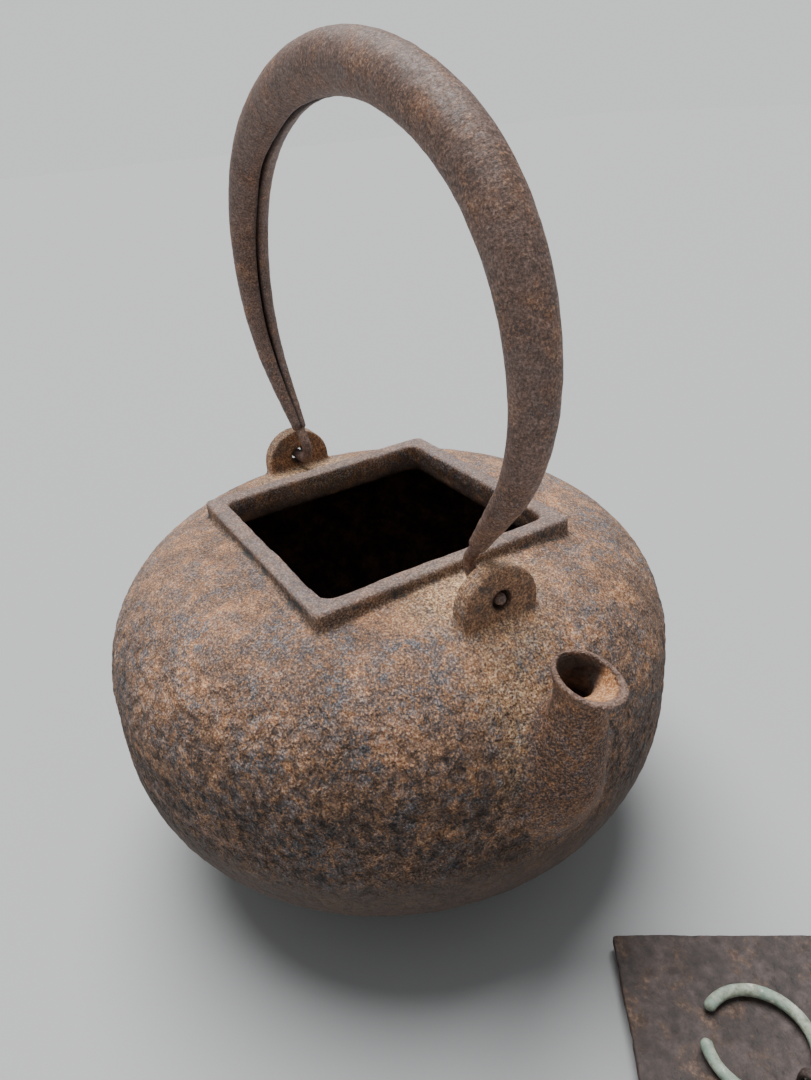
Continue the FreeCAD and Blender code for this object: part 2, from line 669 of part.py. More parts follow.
NODES = {
    "lower_shell": lower_shell,
    "upper_shell": upper_shell,
    "mouth_rim": mouth_rim,
    "spout": spout,
    "front_lug": front_lug,
    "rear_lug": rear_lug,
    "handle_tube": handle_tube,
    "front_hook": hook_front,
    "rear_hook": hook_rear,
    "lid_plate": lid_plate,
    "lid_lip": lid_lip,
    "lid_eye": staple,
    "lid_ring": ring,
}


def check_and_export():
    """Stop on any failed object or bad shape, then write one STEP file per node."""
    doc.recompute()
    for item in doc.Objects:
        if "Invalid" in item.State or "Error" in item.State:
            raise RuntimeError(f"{item.Label} failed: {item.State}")
    for name, item in NODES.items():
        shape = item.Shape
        if shape.isNull() or not shape.isValid() or not shape.Solids:
            raise RuntimeError(f"{name} has no valid solid")
        if item.Label != name:
            raise RuntimeError(f"{name} is labelled {item.Label}")
    os.makedirs("parts", exist_ok=True)
    for name, item in NODES.items():
        item.Shape.exportStep(f"parts/{name}.step")
        box = item.Shape.BoundBox
        print(f"{name}: {len(item.Shape.Solids)} solid, {item.Shape.Volume:.0f} mm3, "
              f"X {box.XMin:.1f}..{box.XMax:.1f} Y {box.YMin:.1f}..{box.YMax:.1f} "
              f"Z {box.ZMin:.1f}..{box.ZMax:.1f}")


check_and_export()
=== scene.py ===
"""Looks of a rusty cast iron kettle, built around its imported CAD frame.

Shapes are modelled as distance fields in millimetres and meshed here, so that the casting's
belly, mouth frame, ears and spout flow into each other as cast metal does.
"""

import json
import math

import bmesh
import bpy
import numpy as np
from mathutils import Matrix, Vector


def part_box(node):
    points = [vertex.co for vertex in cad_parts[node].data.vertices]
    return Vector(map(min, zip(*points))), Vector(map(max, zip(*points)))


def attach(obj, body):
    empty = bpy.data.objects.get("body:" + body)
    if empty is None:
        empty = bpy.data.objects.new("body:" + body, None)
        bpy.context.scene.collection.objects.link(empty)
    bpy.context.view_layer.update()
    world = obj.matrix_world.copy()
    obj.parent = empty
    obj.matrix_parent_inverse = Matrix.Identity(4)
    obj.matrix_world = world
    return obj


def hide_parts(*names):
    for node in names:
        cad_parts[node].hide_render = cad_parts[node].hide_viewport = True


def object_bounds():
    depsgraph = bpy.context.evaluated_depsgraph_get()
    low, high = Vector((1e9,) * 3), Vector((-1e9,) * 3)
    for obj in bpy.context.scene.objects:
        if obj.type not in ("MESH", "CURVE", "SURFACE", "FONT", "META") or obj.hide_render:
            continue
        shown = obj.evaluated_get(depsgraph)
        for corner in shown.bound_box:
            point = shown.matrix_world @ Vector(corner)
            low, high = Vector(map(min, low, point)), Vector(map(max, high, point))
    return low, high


MM = 0.001
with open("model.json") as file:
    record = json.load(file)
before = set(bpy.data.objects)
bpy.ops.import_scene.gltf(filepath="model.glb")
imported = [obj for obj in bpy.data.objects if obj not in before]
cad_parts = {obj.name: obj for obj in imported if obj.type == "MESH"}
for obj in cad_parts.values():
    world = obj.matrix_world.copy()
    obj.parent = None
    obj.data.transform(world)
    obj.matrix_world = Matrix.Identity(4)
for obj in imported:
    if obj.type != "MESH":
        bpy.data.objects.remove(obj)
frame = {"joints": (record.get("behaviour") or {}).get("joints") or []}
cad_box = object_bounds()


def box_mm(node):
    """A CAD node's lowest and highest corner in millimetres."""
    low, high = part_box(node)
    return np.array(low) / MM, np.array(high) / MM


# ------------------------------------------------------------------ sizes, millimetres
SEAM = box_mm("lower_shell")[1][2]
BELLY_RADIUS = box_mm("lower_shell")[1][0]
EQUATOR = 48.0
WALL = 3.5
BASE_EDGE = 1.5            # rounding between the belly and its flat base
SIDE_RADIUS, SHOULDER_RADIUS, CROWN_RADIUS, CROWN_TOP = 376.0, 32.6, 323.0, 99.0
LOWER_RADIUS, BOTTOM_RADIUS, BOTTOM_CENTRE = 35.0, 70.3, 67.3
SKIN_INSET = 0.35          # room below the CAD surface for the cast skin's bumps
SHOULDER_LINE = 92.0       # the casting is smooth above this height and pebbled below it

RIM_LOW, RIM_HIGH = box_mm("mouth_rim")
RIM_HALF = RIM_HIGH[0]
RIM_CORNER = 1.6
MOUTH_HALF = 31.4
MOUTH_CORNER = 3.0
LUG_LOW, LUG_HIGH = box_mm("front_lug")
LUG_X = (LUG_LOW[0] + LUG_HIGH[0]) / 2
LUG_RADIUS = LUG_HIGH[1]
LUG_HOLE = 2.3
LUG_EDGE = 0.6
HINGE = {joint["name"]: joint for joint in frame["joints"]}
HINGE_Z = HINGE["handle_swing"]["pos_m"][2] / MM

# horizontal slices of the spout: height, centre along X, half length, half width
SPOUT_SKIN = np.array([
    (44.0, 58.0, 14.0, 13.5), (52.0, 65.5, 13.5, 12.6), (60.0, 71.0, 11.8, 11.0),
    (71.0, 75.8, 9.0, 8.7), (81.0, 78.6, 6.9, 6.6), (88.0, 79.6, 5.8, 5.3),
    (92.0, 80.4, 6.4, 5.3), (94.0, 82.0, 8.7, 6.0), (95.6, 82.6, 9.2, 6.5),
    (100.0, 85.0, 12.0, 8.0),
])
SPOUT_BORE = np.array([
    (46.0, 60.0, 8.0, 8.2), (60.0, 71.0, 7.4, 7.2), (71.0, 75.8, 5.8, 5.8),
    (81.0, 78.0, 4.2, 4.3), (88.0, 78.4, 3.3, 3.5), (90.4, 78.5, 3.3, 3.6),
    (92.0, 79.4, 4.2, 3.9), (93.6, 81.2, 6.1, 4.5), (95.6, 82.3, 7.5, 5.1),
    (100.0, 84.8, 10.6, 6.6),
])
SPOUT_MOUTH = np.array((81.6, 0.0, 95.6))
SPOUT_MOUTH_SLOPE = math.radians(9.0)

# widths of the cast fillets and of the worn, rounded edges
SPOUT_FILLET, LUG_FILLET, RIM_FILLET = 5.0, 1.9, 0.8
LIP_ROUND, RIM_ROUND, MOUTH_ROUND, BORE_ROUND, HOLE_ROUND = 0.8, 0.6, 0.9, 0.8, 0.6
FAR = 40.0                 # field value where a feature is nowhere near


# ------------------------------------------------------------------ noise
def lattice(ix, iy, iz, seed):
    """Repeatable numbers from 0 to 1 for whole-number points."""
    n = ix * 374761393 + iy * 668265263 + iz * 2147483647 + seed * 1274126177
    n = (n ^ (n >> 13)) & 0xFFFFFFFF
    n = (n * 1103515245 + 12345) & 0xFFFFFFFF
    n = (n ^ (n >> 16)) * 2246822519 & 0xFFFFFFFF
    return ((n ^ (n >> 13)) & 0xFFFFFF) / float(0xFFFFFF)


def noise(points, period, seed):
    """Smooth noise from -1 to 1 with features about `period` millimetres across."""
    q = points / period
    cell = np.floor(q).astype(np.int64)
    t = q - cell
    t = t * t * t * (t * (t * 6 - 15) + 10)
    total = np.zeros(len(points))
    for dx in (0, 1):
        for dy in (0, 1):
            for dz in (0, 1):
                weight = (
                    (t[:, 0] if dx else 1 - t[:, 0])
                    * (t[:, 1] if dy else 1 - t[:, 1])
                    * (t[:, 2] if dz else 1 - t[:, 2])
                )
                total += weight * lattice(cell[:, 0] + dx, cell[:, 1] + dy, cell[:, 2] + dz, seed)
    return total * 2 - 1


def layered(points, period, seed, octaves=3):
    """Several octaves of noise, each half the size and half the height of the last."""
    total = np.zeros(len(points))
    height = 1.0
    for octave in range(octaves):
        total += height * noise(points, period / 2**octave, seed + octave)
        height *= 0.5
    return total / (2 - 2 ** (1 - octaves))


def cells(points, period, seed):
    """Distance to the nearest and second nearest of scattered points, in periods."""
    q = points / period
    home = np.floor(q).astype(np.int64)
    first = np.full(len(points), 9.0)
    second = np.full(len(points), 9.0)
    for dx in (-1, 0, 1):
        for dy in (-1, 0, 1):
            for dz in (-1, 0, 1):
                c = home + (dx, dy, dz)
                spot = np.stack(
                    [c[:, k] + lattice(c[:, 0], c[:, 1], c[:, 2], seed + k) for k in range(3)], 1
                )
                distance = np.sqrt(((q - spot) ** 2).sum(1))
                second = np.minimum(second, np.maximum(first, distance))
                first = np.minimum(first, distance)
    return first, second


# ------------------------------------------------------------------ distance fields
def blend_union(a, b, width):
    """Union of two fields with a cast fillet of about this width between them."""
    h = np.clip(0.5 + 0.5 * (b - a) / width, 0, 1)
    return b + (a - b) * h - width * h * (1 - h)


def blend_cut(a, b, width):
    """Field a less field b, with the edge worn round."""
    return -blend_union(-a, b, width)


def circle_crossing(a, radius_a, b, radius_b):
    """The crossing of two circles that lies further from the axis."""
    span = b - a
    length = np.hypot(*span)
    along = (radius_a**2 - radius_b**2 + length**2) / (2 * length)
    across = math.sqrt(radius_a**2 - along**2)
    foot = a + span / length * along
    side = np.array((-span[1], span[0])) / length * across
    return foot + side if side[0] > 0 else foot - side


def belly_profile():
    """Centres and radii of the belly's five tangent arcs, and the angles where they meet."""
    side = np.array((BELLY_RADIUS - SIDE_RADIUS, EQUATOR))
    crown = np.array((0.0, CROWN_TOP - CROWN_RADIUS))
    shoulder = circle_crossing(
        side, SIDE_RADIUS - SHOULDER_RADIUS, crown, CROWN_RADIUS - SHOULDER_RADIUS
    )
    lower = np.array((BELLY_RADIUS - LOWER_RADIUS, EQUATOR))
    rise = BOTTOM_CENTRE - EQUATOR
    bottom = lower + (-math.sqrt((BOTTOM_RADIUS - LOWER_RADIUS) ** 2 - rise**2), rise)
    return {
        "side": (side, SIDE_RADIUS), "shoulder": (shoulder, SHOULDER_RADIUS),
        "crown": (crown, CROWN_RADIUS), "lower": (lower, LOWER_RADIUS),
        "bottom": (bottom, BOTTOM_RADIUS),
        "side_end": math.atan2(*(shoulder - side)[::-1]),
        "shoulder_end": math.atan2(*(shoulder - crown)[::-1]),
        "lower_end": math.atan2(*(lower - bottom)[::-1]),
    }


PROFILE = belly_profile()


def belly_field(x, y, z, inset):
    """Distance to the belly's surface drawn in by `inset`; negative inside."""
    r = np.hypot(x, y)

    def beyond(name):
        centre, radius = PROFILE[name]
        return np.hypot(r - centre[0], z - centre[1]) - radius

    def direction(name):
        centre = PROFILE[name][0]
        return np.arctan2(z - centre[1], r - centre[0])

    upper = np.where(
        direction("side") < PROFILE["side_end"], beyond("side"),
        np.where(direction("shoulder") < PROFILE["shoulder_end"], beyond("shoulder"),
                 beyond("crown")),
    )
    lower = np.where(direction("lower") > PROFILE["lower_end"], beyond("lower"),
                     beyond("bottom"))
    field = np.where(z > EQUATOR, upper, lower) + inset
    return -blend_union(-field, z - inset * (inset > 1), BASE_EDGE)


def rounded_box(x, y, z, low, high, corner, edge):
    """Box with upright corners of one radius and all edges of another."""
    cx, cy, cz = (np.array(low) + np.array(high)) / 2
    hx, hy, hz = (np.array(high) - np.array(low)) / 2
    qx = np.abs(x - cx) - hx + corner
    qy = np.abs(y - cy) - hy + corner
    flat = np.hypot(np.maximum(qx, 0), np.maximum(qy, 0)) + np.minimum(np.maximum(qx, qy), 0)
    flat = flat - corner + edge
    tall = np.abs(z - cz) - hz + edge
    outside = np.hypot(np.maximum(flat, 0), np.maximum(tall, 0))
    return outside + np.minimum(np.maximum(flat, tall), 0) - edge


def smooth_rows(rows, z, column):
    """Cubic interpolation of one column of a slice table at heights z."""
    heights, values = rows[:, 0], rows[:, column]
    slopes = np.gradient(values, heights)
    i = np.clip(np.searchsorted(heights, z) - 1, 0, len(heights) - 2)
    span = heights[i + 1] - heights[i]
    t = np.clip((z - heights[i]) / span, 0, 1)
    return (
        (2 * t**3 - 3 * t**2 + 1) * values[i] + (t**3 - 2 * t**2 + t) * span * slopes[i]
        + (3 * t**2 - 2 * t**3) * values[i + 1] + (t**3 - t**2) * span * slopes[i + 1]
    )


def sliced_tube(x, y, z, rows):
    """Field of a leaning tube given by horizontal oval slices."""
    centre = smooth_rows(rows, z, 1)
    length = smooth_rows(rows, z, 2)
    width = smooth_rows(rows, z, 3)
    slope = 0.9                # the tube leans, so level distances are a little too long
    return (np.hypot((x - centre) / length, y / width) - 1) * np.minimum(length, width) * slope


def spout_top(x, z):
    """Height above the plane of the spout's mouth, which slopes down towards its tip."""
    rise = (z - SPOUT_MOUTH[2]) * math.cos(SPOUT_MOUTH_SLOPE)
    return rise + (x - SPOUT_MOUTH[0]) * math.sin(SPOUT_MOUTH_SLOPE)


def lug_field(x, y, z, side):
    """One ear's plate, with a round top and rounded edges, and the hole through it."""
    arc_z = LUG_HIGH[2] - LUG_RADIUS
    reach = LUG_RADIUS - LUG_EDGE
    outline = np.where(z > arc_z, np.hypot(y, z - arc_z) - reach, np.abs(y) - reach)
    thick = np.abs(x - side * LUG_X) - (LUG_HIGH[0] - LUG_LOW[0]) / 2 + LUG_EDGE
    outside = np.hypot(np.maximum(outline, 0), np.maximum(thick, 0))
    plate = outside + np.minimum(np.maximum(outline, thick), 0) - LUG_EDGE
    hole = np.hypot(y, z - HINGE_Z) - LUG_HOLE
    return plate, hole


def casting_field(x, y, z):
    """The whole casting: belly, spout, ears and mouth frame, hollow and with its openings."""
    field = belly_field(x, y, z, SKIN_INSET)
    near = (x > 52) & (np.abs(y) < 24) & (z > 38)
    sx, sy, sz = x[near], y[near], z[near]
    spout = np.full_like(field, FAR)
    bore = np.full_like(field, FAR)
    top = np.full_like(field, -FAR)
    spout[near] = sliced_tube(sx, sy, sz, SPOUT_SKIN)
    bore[near] = sliced_tube(sx, sy, sz, SPOUT_BORE)
    top[near] = spout_top(sx, sz)
    spout = -blend_union(-spout, -top, LIP_ROUND)
    field = blend_union(field, spout, SPOUT_FILLET)
    holes = np.full_like(field, FAR)
    for side in (-1, 1):
        near = (np.abs(x - side * LUG_X) < 12) & (np.abs(y) < 18) & (z > 80)
        lug = np.full_like(field, FAR)
        lug[near], holes[near] = lug_field(x[near], y[near], z[near], side)
        field = blend_union(field, lug, LUG_FILLET)
    outer_low = (-RIM_HALF, -RIM_HALF, RIM_LOW[2] - 6)
    rim = rounded_box(x, y, z, outer_low, RIM_HIGH, RIM_CORNER, RIM_ROUND)
    field = blend_union(field, rim, RIM_FILLET)
    field = np.maximum(field, -belly_field(x, y, z, WALL))
    skirt = rounded_box(x, y, z, RIM_LOW, RIM_HIGH - (0, 0, 2), RIM_CORNER, 0.7)
    field = np.minimum(field, skirt)
    mouth_low = (-MOUTH_HALF, -MOUTH_HALF, RIM_LOW[2] - 8)
    mouth_high = (MOUTH_HALF, MOUTH_HALF, 120)
    mouth = rounded_box(x, y, z, mouth_low, mouth_high, MOUTH_CORNER, 0.4)
    field = blend_cut(field, mouth, MOUTH_ROUND)
    field = blend_cut(field, bore, BORE_ROUND)
    return blend_cut(field, holes, HOLE_ROUND)


# ------------------------------------------------------------------ meshing
def surface_net(field, low, high, step):
    """Quads around the zero level of a field: one vertex in each cell that it passes through."""
    axes = [np.arange(a, b + step, step) for a, b in zip(low, high)]
    grid = np.meshgrid(*axes, indexing="ij")
    inside = field(*grid) < 0
    count = np.zeros(tuple(n - 1 for n in inside.shape), np.int8)
    corners = [(i, j, k) for i in (0, 1) for j in (0, 1) for k in (0, 1)]
    nx, ny, nz = count.shape
    for i, j, k in corners:
        count += inside[i:i + nx, j:j + ny, k:k + nz]
    active = (count > 0) & (count < 8)
    index = np.full(active.shape, -1, np.int64)
    index[active] = np.arange(active.sum())
    places = np.argwhere(active)
    verts = np.array(low) + (places + 0.5) * step
    quads = []
    for axis in range(3):
        u, v = [a for a in range(3) if a != axis]
        if axis == 1:
            u, v = v, u
        first = np.moveaxis(inside, axis, 0)
        change = np.moveaxis(first[:-1] != first[1:], 0, axis)
        spots = np.argwhere(change)
        keep = np.ones(len(spots), bool)
        for a in (u, v):
            keep &= (spots[:, a] > 0) & (spots[:, a] < active.shape[a])
        spots = spots[keep]
        starts_inside = inside[tuple(spots.T)]
        ring = []
        for du, dv in ((-1, -1), (0, -1), (0, 0), (-1, 0)):
            cell = spots.copy()
            cell[:, u] += du
            cell[:, v] += dv
            ring.append(index[tuple(cell.T)])
        ring = np.stack(ring, 1)
        ring[~starts_inside] = ring[~starts_inside][:, ::-1]
        quads.append(ring)
    return verts, np.concatenate(quads)


def gradient(field, points, reach=0.05):
    """Outward direction of a field, by differences."""
    columns = []
    for axis in range(3):
        ahead, behind = points.copy(), points.copy()
        ahead[:, axis] += reach
        behind[:, axis] -= reach
        columns.append((field(*ahead.T) - field(*behind.T)) / (2 * reach))
    return np.stack(columns, 1)


def settle(field, points, step):
    """Move net vertices on to the zero level, a little at a time."""
    longest = 0.3 * step
    for _ in range(4):
        slope = gradient(field, points)
        size = np.maximum((slope**2).sum(1), 0.2)
        move = -slope * (field(*points.T) / size)[:, None]
        length = np.sqrt((move**2).sum(1))
        move *= np.minimum(1, longest / np.maximum(length, 1e-9))[:, None]
        points = points + move
    return points


def unit_normals(field, points):
    """Unit outward directions at points on a field's zero level."""
    slope = gradient(field, points, 0.15)
    return slope / np.maximum(np.sqrt((slope**2).sum(1)), 1e-9)[:, None]


def new_mesh(name, verts, faces, attributes=None):
    """A mesh object from arrays in millimetres, with point attributes."""
    mesh = bpy.data.meshes.new(name)
    verts = np.asarray(verts, float) * MM
    faces = np.asarray(faces, np.int64)
    mesh.vertices.add(len(verts))
    mesh.vertices.foreach_set("co", verts.ravel())
    sides = faces.shape[1]
    mesh.loops.add(faces.size)
    mesh.loops.foreach_set("vertex_index", faces.ravel().astype(np.int32))
    mesh.polygons.add(len(faces))
    mesh.polygons.foreach_set("loop_start", np.arange(0, faces.size, sides, dtype=np.int32))
    mesh.update(calc_edges=True)
    mesh.validate()
    for key, values in (attributes or {}).items():
        layer = mesh.attributes.new(key, "FLOAT", "POINT")
        layer.data.foreach_set("value", np.asarray(values, np.float32))
    mesh.shade_smooth()
    piece = bpy.data.objects.new(name, mesh)
    bpy.context.scene.collection.objects.link(piece)
    return piece


def split_casting(whole, height):
    """Two closed halves of a mesh, above and below a level plane."""
    halves = []
    for name, upward in (("upper_casting", True), ("lower_casting", False)):
        bm = bmesh.new()
        bm.from_mesh(whole.data)
        everything = bm.verts[:] + bm.edges[:] + bm.faces[:]
        cut = bmesh.ops.bisect_plane(
            bm, geom=everything, plane_co=(0, 0, height * MM), plane_no=(0, 0, 1),
            clear_inner=upward, clear_outer=not upward,
        )
        loop = [e for e in cut["geom_cut"] if isinstance(e, bmesh.types.BMEdge) and e.is_boundary]
        bmesh.ops.triangle_fill(bm, edges=loop, use_beauty=True, use_dissolve=False)
        for edge in loop:
            edge.smooth = False
        bmesh.ops.recalc_face_normals(bm, faces=bm.faces[:])
        mesh = bpy.data.meshes.new(name)
        bm.to_mesh(mesh)
        bm.free()
        piece = bpy.data.objects.new(name, mesh)
        bpy.context.scene.collection.objects.link(piece)
        halves.append(piece)
    bpy.data.objects.remove(whole)
    return halves


# ------------------------------------------------------------------ the casting
def near_surface(distance, width):
    """Mask that is 1 on a surface and fades out over a width beside it."""
    return np.clip(1.6 - np.abs(distance) / width, 0, 1)


def spout_masks(x, y, z):
    """Rust of the spout: inside its bore, on its tongue, its skin, its lip and its foot."""
    root = sliced_tube(x, y, z, SPOUT_SKIN)
    below_mouth = -spout_top(x, z)
    skin = near_surface(root, 1.6) * (x > 60)
    skin = skin * np.clip((z - 54) / 10, 0, 1)
    bore = near_surface(sliced_tube(x, y, z, SPOUT_BORE), 0.8) * (x > 60) * (np.abs(y) < 12)
    bore = bore * (below_mouth > 0.5) * (z > 60)
    tongue = bore * np.clip((x - 80.2) / 1.6, 0, 1) * np.clip(1.5 - below_mouth / 6, 0, 1)
    edge = np.clip(1.4 - np.abs(below_mouth) / 0.45, 0, 1) * (x > 70) * (np.abs(y) < 9)
    foot = np.exp(-((root - 3.6) / 3.0) ** 2) * np.clip((3 - y) / 4, 0, 1) * (x > 58)
    return bore, tongue, skin, edge, foot * np.clip((z - 62) / 16, 0, 1)


def lug_masks(x, y, z):
    """Rust of the ears, painted shade in and round their holes, and the golden rust on the belly
    beside them.
    """
    lugs = np.zeros(len(x))
    holes = np.zeros(len(x))
    gold = np.zeros(len(x))
    for side in (-1, 1):
        plate, hole = lug_field(x, y, z, side)
        off_plane = np.abs(x - side * LUG_X)
        on_face = 0.35 + 0.65 * (off_plane > 2.1)
        lugs = np.maximum(lugs, near_surface(plate, 0.5) * (z > 88.5) * on_face)
        # painted shade in and round each hole
        holes = np.maximum(holes, np.clip(1.2 - hole / 0.7, 0, 1) * (off_plane < 6))
        inboard = np.sqrt((x - side * (LUG_X - 9)) ** 2 + (y / 1.5) ** 2)
        foot = np.sqrt((x - side * (LUG_X + 5)) ** 2 + (y / 1.4) ** 2)
        gold = np.maximum(gold, np.clip(1.35 - inboard / 11, 0, 1))
        gold = np.maximum(gold, 0.5 * np.clip(1.4 - foot / 8, 0, 1))
    return lugs, holes * (z > 94), gold


def cast_masks(points):
    """Where each kind of rust, and the painted shade inside, in the ear holes and below the seam,
    lies on the casting, each from 0 to 1.
    """
    x, y, z = points.T
    off_axis = np.maximum(np.abs(x), np.abs(y))
    inner = belly_field(x, y, z, WALL / 2) < 0
    inner = inner | ((off_axis < MOUTH_HALF - 0.6) & (z > RIM_LOW[2]))
    depth = np.clip((RIM_HIGH[2] - 1 - z) / 7, 0, 1)
    bore, tongue, spout, lip_edge, spout_foot = spout_masks(x, y, z)
    lugs, holes, gold = lug_masks(x, y, z)
    heel = np.sqrt((x - 66) ** 2 + ((y + 7) / 1.2) ** 2 + ((z - 84) / 1.4) ** 2)
    gold = np.maximum(gold, 0.55 * np.clip(1.3 - heel / 8, 0, 1))
    gold = np.maximum(gold, 0.6 * spout_foot)
    top = off_axis < RIM_HALF + 1
    rim_side = top * np.clip((RIM_HIGH[2] - 0.5 - z) / 0.5, 0, 1)
    return {
        # inside: dark rust under painted shade, deeper inside the body, and in the spout's bore
        "inside": np.maximum(inner * np.maximum(depth, 0.35), bore * (1 - tongue)),
        # painted shade on the mouth's inner wall, darker deeper down
        "mouth_wall_shade": (off_axis < MOUTH_HALF + 1.2) * depth * (1.0 - inner),
        "gold": gold * (z > 60) * (1 - spout * 0.8),
        "rim": top * np.clip((z - RIM_HIGH[2] + 1.0) / 0.5, 0, 1),
        "rim_side": rim_side * near_surface(off_axis - RIM_HALF, 0.8),
        "lug": np.maximum(lugs, 0.9 * holes),
        "hole": holes,
        "spout": spout * (1 - bore),
        "lip": tongue,
        "lip_edge": lip_edge,
        # below the parting seam, where shade is painted under the belly and the pebbles fade
        "low": np.clip((SEAM - 2 - z) / 8, 0, 1),
    }


def belly_relief(points, pebbled):
    """Height of the pebbles and of the slower swells, in millimetres."""
    near, second = cells(points + 0.9 * noise(points, 5.0, 13)[:, None], 3.7, 11)
    crevices = np.clip(0.30 - (second - near), 0, 1)
    coarse = 0.8 * (0.55 - near) - 1.5 * crevices + 0.4 * layered(points, 4.0, 21, 2)
    fine = layered(points, 2.2, 31, 2)
    swell = 0.12 * layered(points, 18.0, 41)
    return (0.12 + 0.34 * pebbled) * coarse + 0.08 * fine + swell


def mould_lines(points, belly, spout):
    """Broken line of the parting seam round the belly, and the one down the spout's far side."""
    x, y, z = points.T
    ridge_z = SEAM + 0.35 * noise(points, 30.0, 51)
    broken = np.clip(0.75 + 0.9 * layered(points, 22, 52, 2), 0, 1)
    ridge = np.exp(-((z - ridge_z) / 0.6) ** 2) * broken * belly
    ridge = ridge * np.clip(1.3 - x / 45, 0.15, 1)
    line = np.exp(-((x - smooth_rows(SPOUT_SKIN, z, 1)) / 0.55) ** 2)
    return ridge, line * spout * (y > 3) * (z > 58) * (spout_top(x, z) < -1.5)


def cast_skin(points):
    """Bumps of the cast skin and the masks that the rust and the painted shade follow, at points on
    the casting.
    """
    x, y, z = points.T
    masks = cast_masks(points)
    belly = np.abs(belly_field(x, y, z, SKIN_INSET)) < 0.8
    front = np.clip(0.75 + 0.25 * noise(points, 45.0, 12), 0, 1)
    pebbled = np.clip((SHOULDER_LINE - z) / 26, 0, 1) * (1 - 0.75 * masks["low"]) * front
    height = belly_relief(points, pebbled) * np.where(belly, 1.0, 0.3)
    ridge, spout_line = mould_lines(points, belly, masks["spout"])
    height += 0.40 * ridge
    height += 0.28 * spout_line
    height -= 0.5 * np.clip(noise(points, 4.5, 53) - 0.5, 0, 1) * masks["rim"]
    worn = (np.maximum(np.abs(x), np.abs(y)) < MOUTH_HALF + 1.6) & (z > RIM_LOW[2])
    height += 0.25 * layered(points, 8.0, 54, 2) * worn
    near_lip = (x > 70) & (np.abs(y) < 9) & (z > 88) & (spout_top(x, z) > -6)
    height = np.where(near_lip, 0.12 * height, height)
    height = np.where(masks["inside"] > 0.5, 0.15 * layered(points, 5.0, 61), height)
    height = np.clip(height, -0.8, SKIN_INSET - 0.03)
    masks["height"] = np.clip(0.60 + height * 1.5, 0, 1)
    masks["ridge"] = np.maximum(ridge, spout_line)
    masks["pebbled"] = pebbled * belly
    return height, masks


def make_casting():
    """Mesh the casting, wrinkle its skin and split it at the mould's parting seam."""
    step = 0.75
    low = np.array((-79.2, -79.2, -1.6))
    high = np.array((93.6, 79.2, 108.8))
    verts, quads = surface_net(casting_field, low, high, step)
    verts = settle(casting_field, verts, step)
    normals = unit_normals(casting_field, verts)
    height, masks = cast_skin(verts)
    verts = verts + normals * height[:, None]
    verts = np.clip(verts, (-BELLY_RADIUS, -BELLY_RADIUS, 0), (200, BELLY_RADIUS, 200))
    whole = new_mesh("casting", verts, quads, masks)
    return split_casting(whole, SEAM)


# ------------------------------------------------------------------ handle
HOOP_TOP, HOOP_TOP_RADIUS, HOOP_TOP_ANGLE = 202.6, 79.4, math.radians(31.8)
HOOP_SHOULDER_RADIUS, HOOP_LOWER_RADIUS = 49.4, 44.0
HOOP_LOWER_ANGLE, HOOP_LEG = math.radians(36.8), 17.8
TUBE_MIDDLE, TUBE_END, TUBE_TAPER = 6.3, 2.1, 2.9
TUBE_SEAM_HALF, TUBE_SEAM_DEPTH = 0.32, 1.7
HOOK_RADIUS, HOOK_BEND, HOOK_REACH = 1.55, 4.0, 55.3
ACROSS = np.array((0.0, 1.0, 0.0))


def ray(angle):
    """Unit vector in the XZ plane, clockwise from straight up."""
    return np.array((math.sin(angle), 0.0, math.cos(angle)))


def hoop_arcs():
    """Centre, radius, first and last angle of the front half hoop's arcs, from the top."""
    top = np.array((0.0, 0.0, HOOP_TOP - HOOP_TOP_RADIUS))
    shoulder = top + ray(HOOP_TOP_ANGLE) * (HOOP_TOP_RADIUS - HOOP_SHOULDER_RADIUS)
    lower = shoulder + ray(math.pi / 2) * (HOOP_SHOULDER_RADIUS - HOOP_LOWER_RADIUS)
    return [
        (top, HOOP_TOP_RADIUS, 0.0, HOOP_TOP_ANGLE),
        (shoulder, HOOP_SHOULDER_RADIUS, HOOP_TOP_ANGLE, math.pi / 2),
        (lower, HOOP_LOWER_RADIUS, math.pi / 2, math.pi / 2 + HOOP_LOWER_ANGLE),
    ]


def hoop_length():
    """Length of half the hoop's centreline."""
    return sum(r * (last - first) for _, r, first, last in hoop_arcs()) + HOOP_LEG


def hoop_point(share):
    """Point and heading at a share of the half length; a negative share is the rear half."""
    left = abs(share) * hoop_length()
    for centre, radius, first, last in hoop_arcs():
        angle = first + left / radius
        if angle <= last:
            break
        left -= radius * (last - first)
    else:
        angle = last
        centre = centre + ray(last + math.pi / 2) * left
    point = centre + ray(angle) * radius
    heading = ray(angle + math.pi / 2)
    if share < 0:
        point[0] = -point[0]
        heading[2] = -heading[2]
    return point, heading


def sweep(centres, headings, sideways, section):
    """Open-ended skin through rings around a path. section(i) gives a ring's (in, side) offsets."""
    rings = []
    for i, (centre, heading) in enumerate(zip(centres, headings)):
        inward = np.cross(sideways, heading)
        inward /= np.linalg.norm(inward)
        offsets = section(i)
        rings.append(centre + offsets[:, :1] * inward + offsets[:, 1:] * sideways)
    rings = np.array(rings)
    count, around = rings.shape[:2]
    a = np.arange(count - 1)[:, None] * around + np.arange(around)
    b = np.arange(count - 1)[:, None] * around + (np.arange(around) + 1) % around
    quads = np.stack([a, b, b + around, a + around], 2).reshape(-1, 4)
    return rings.reshape(-1, 3), quads


def full_turn(around):
    """Evenly spaced angles of one full turn."""
    return np.linspace(0, 2 * math.pi, around, endpoint=False)


def path_headings(points):
    """Unit directions along a path."""
    headings = np.gradient(points, axis=0)
    return headings / np.linalg.norm(headings, axis=1)[:, None]


def away_from(path, verts, around):
    """Unit directions from a path out to the skin swept round it."""
    outward = verts - np.repeat(np.asarray(path), around, axis=0)
    return outward / np.maximum(np.linalg.norm(outward, axis=1), 1e-6)[:, None]


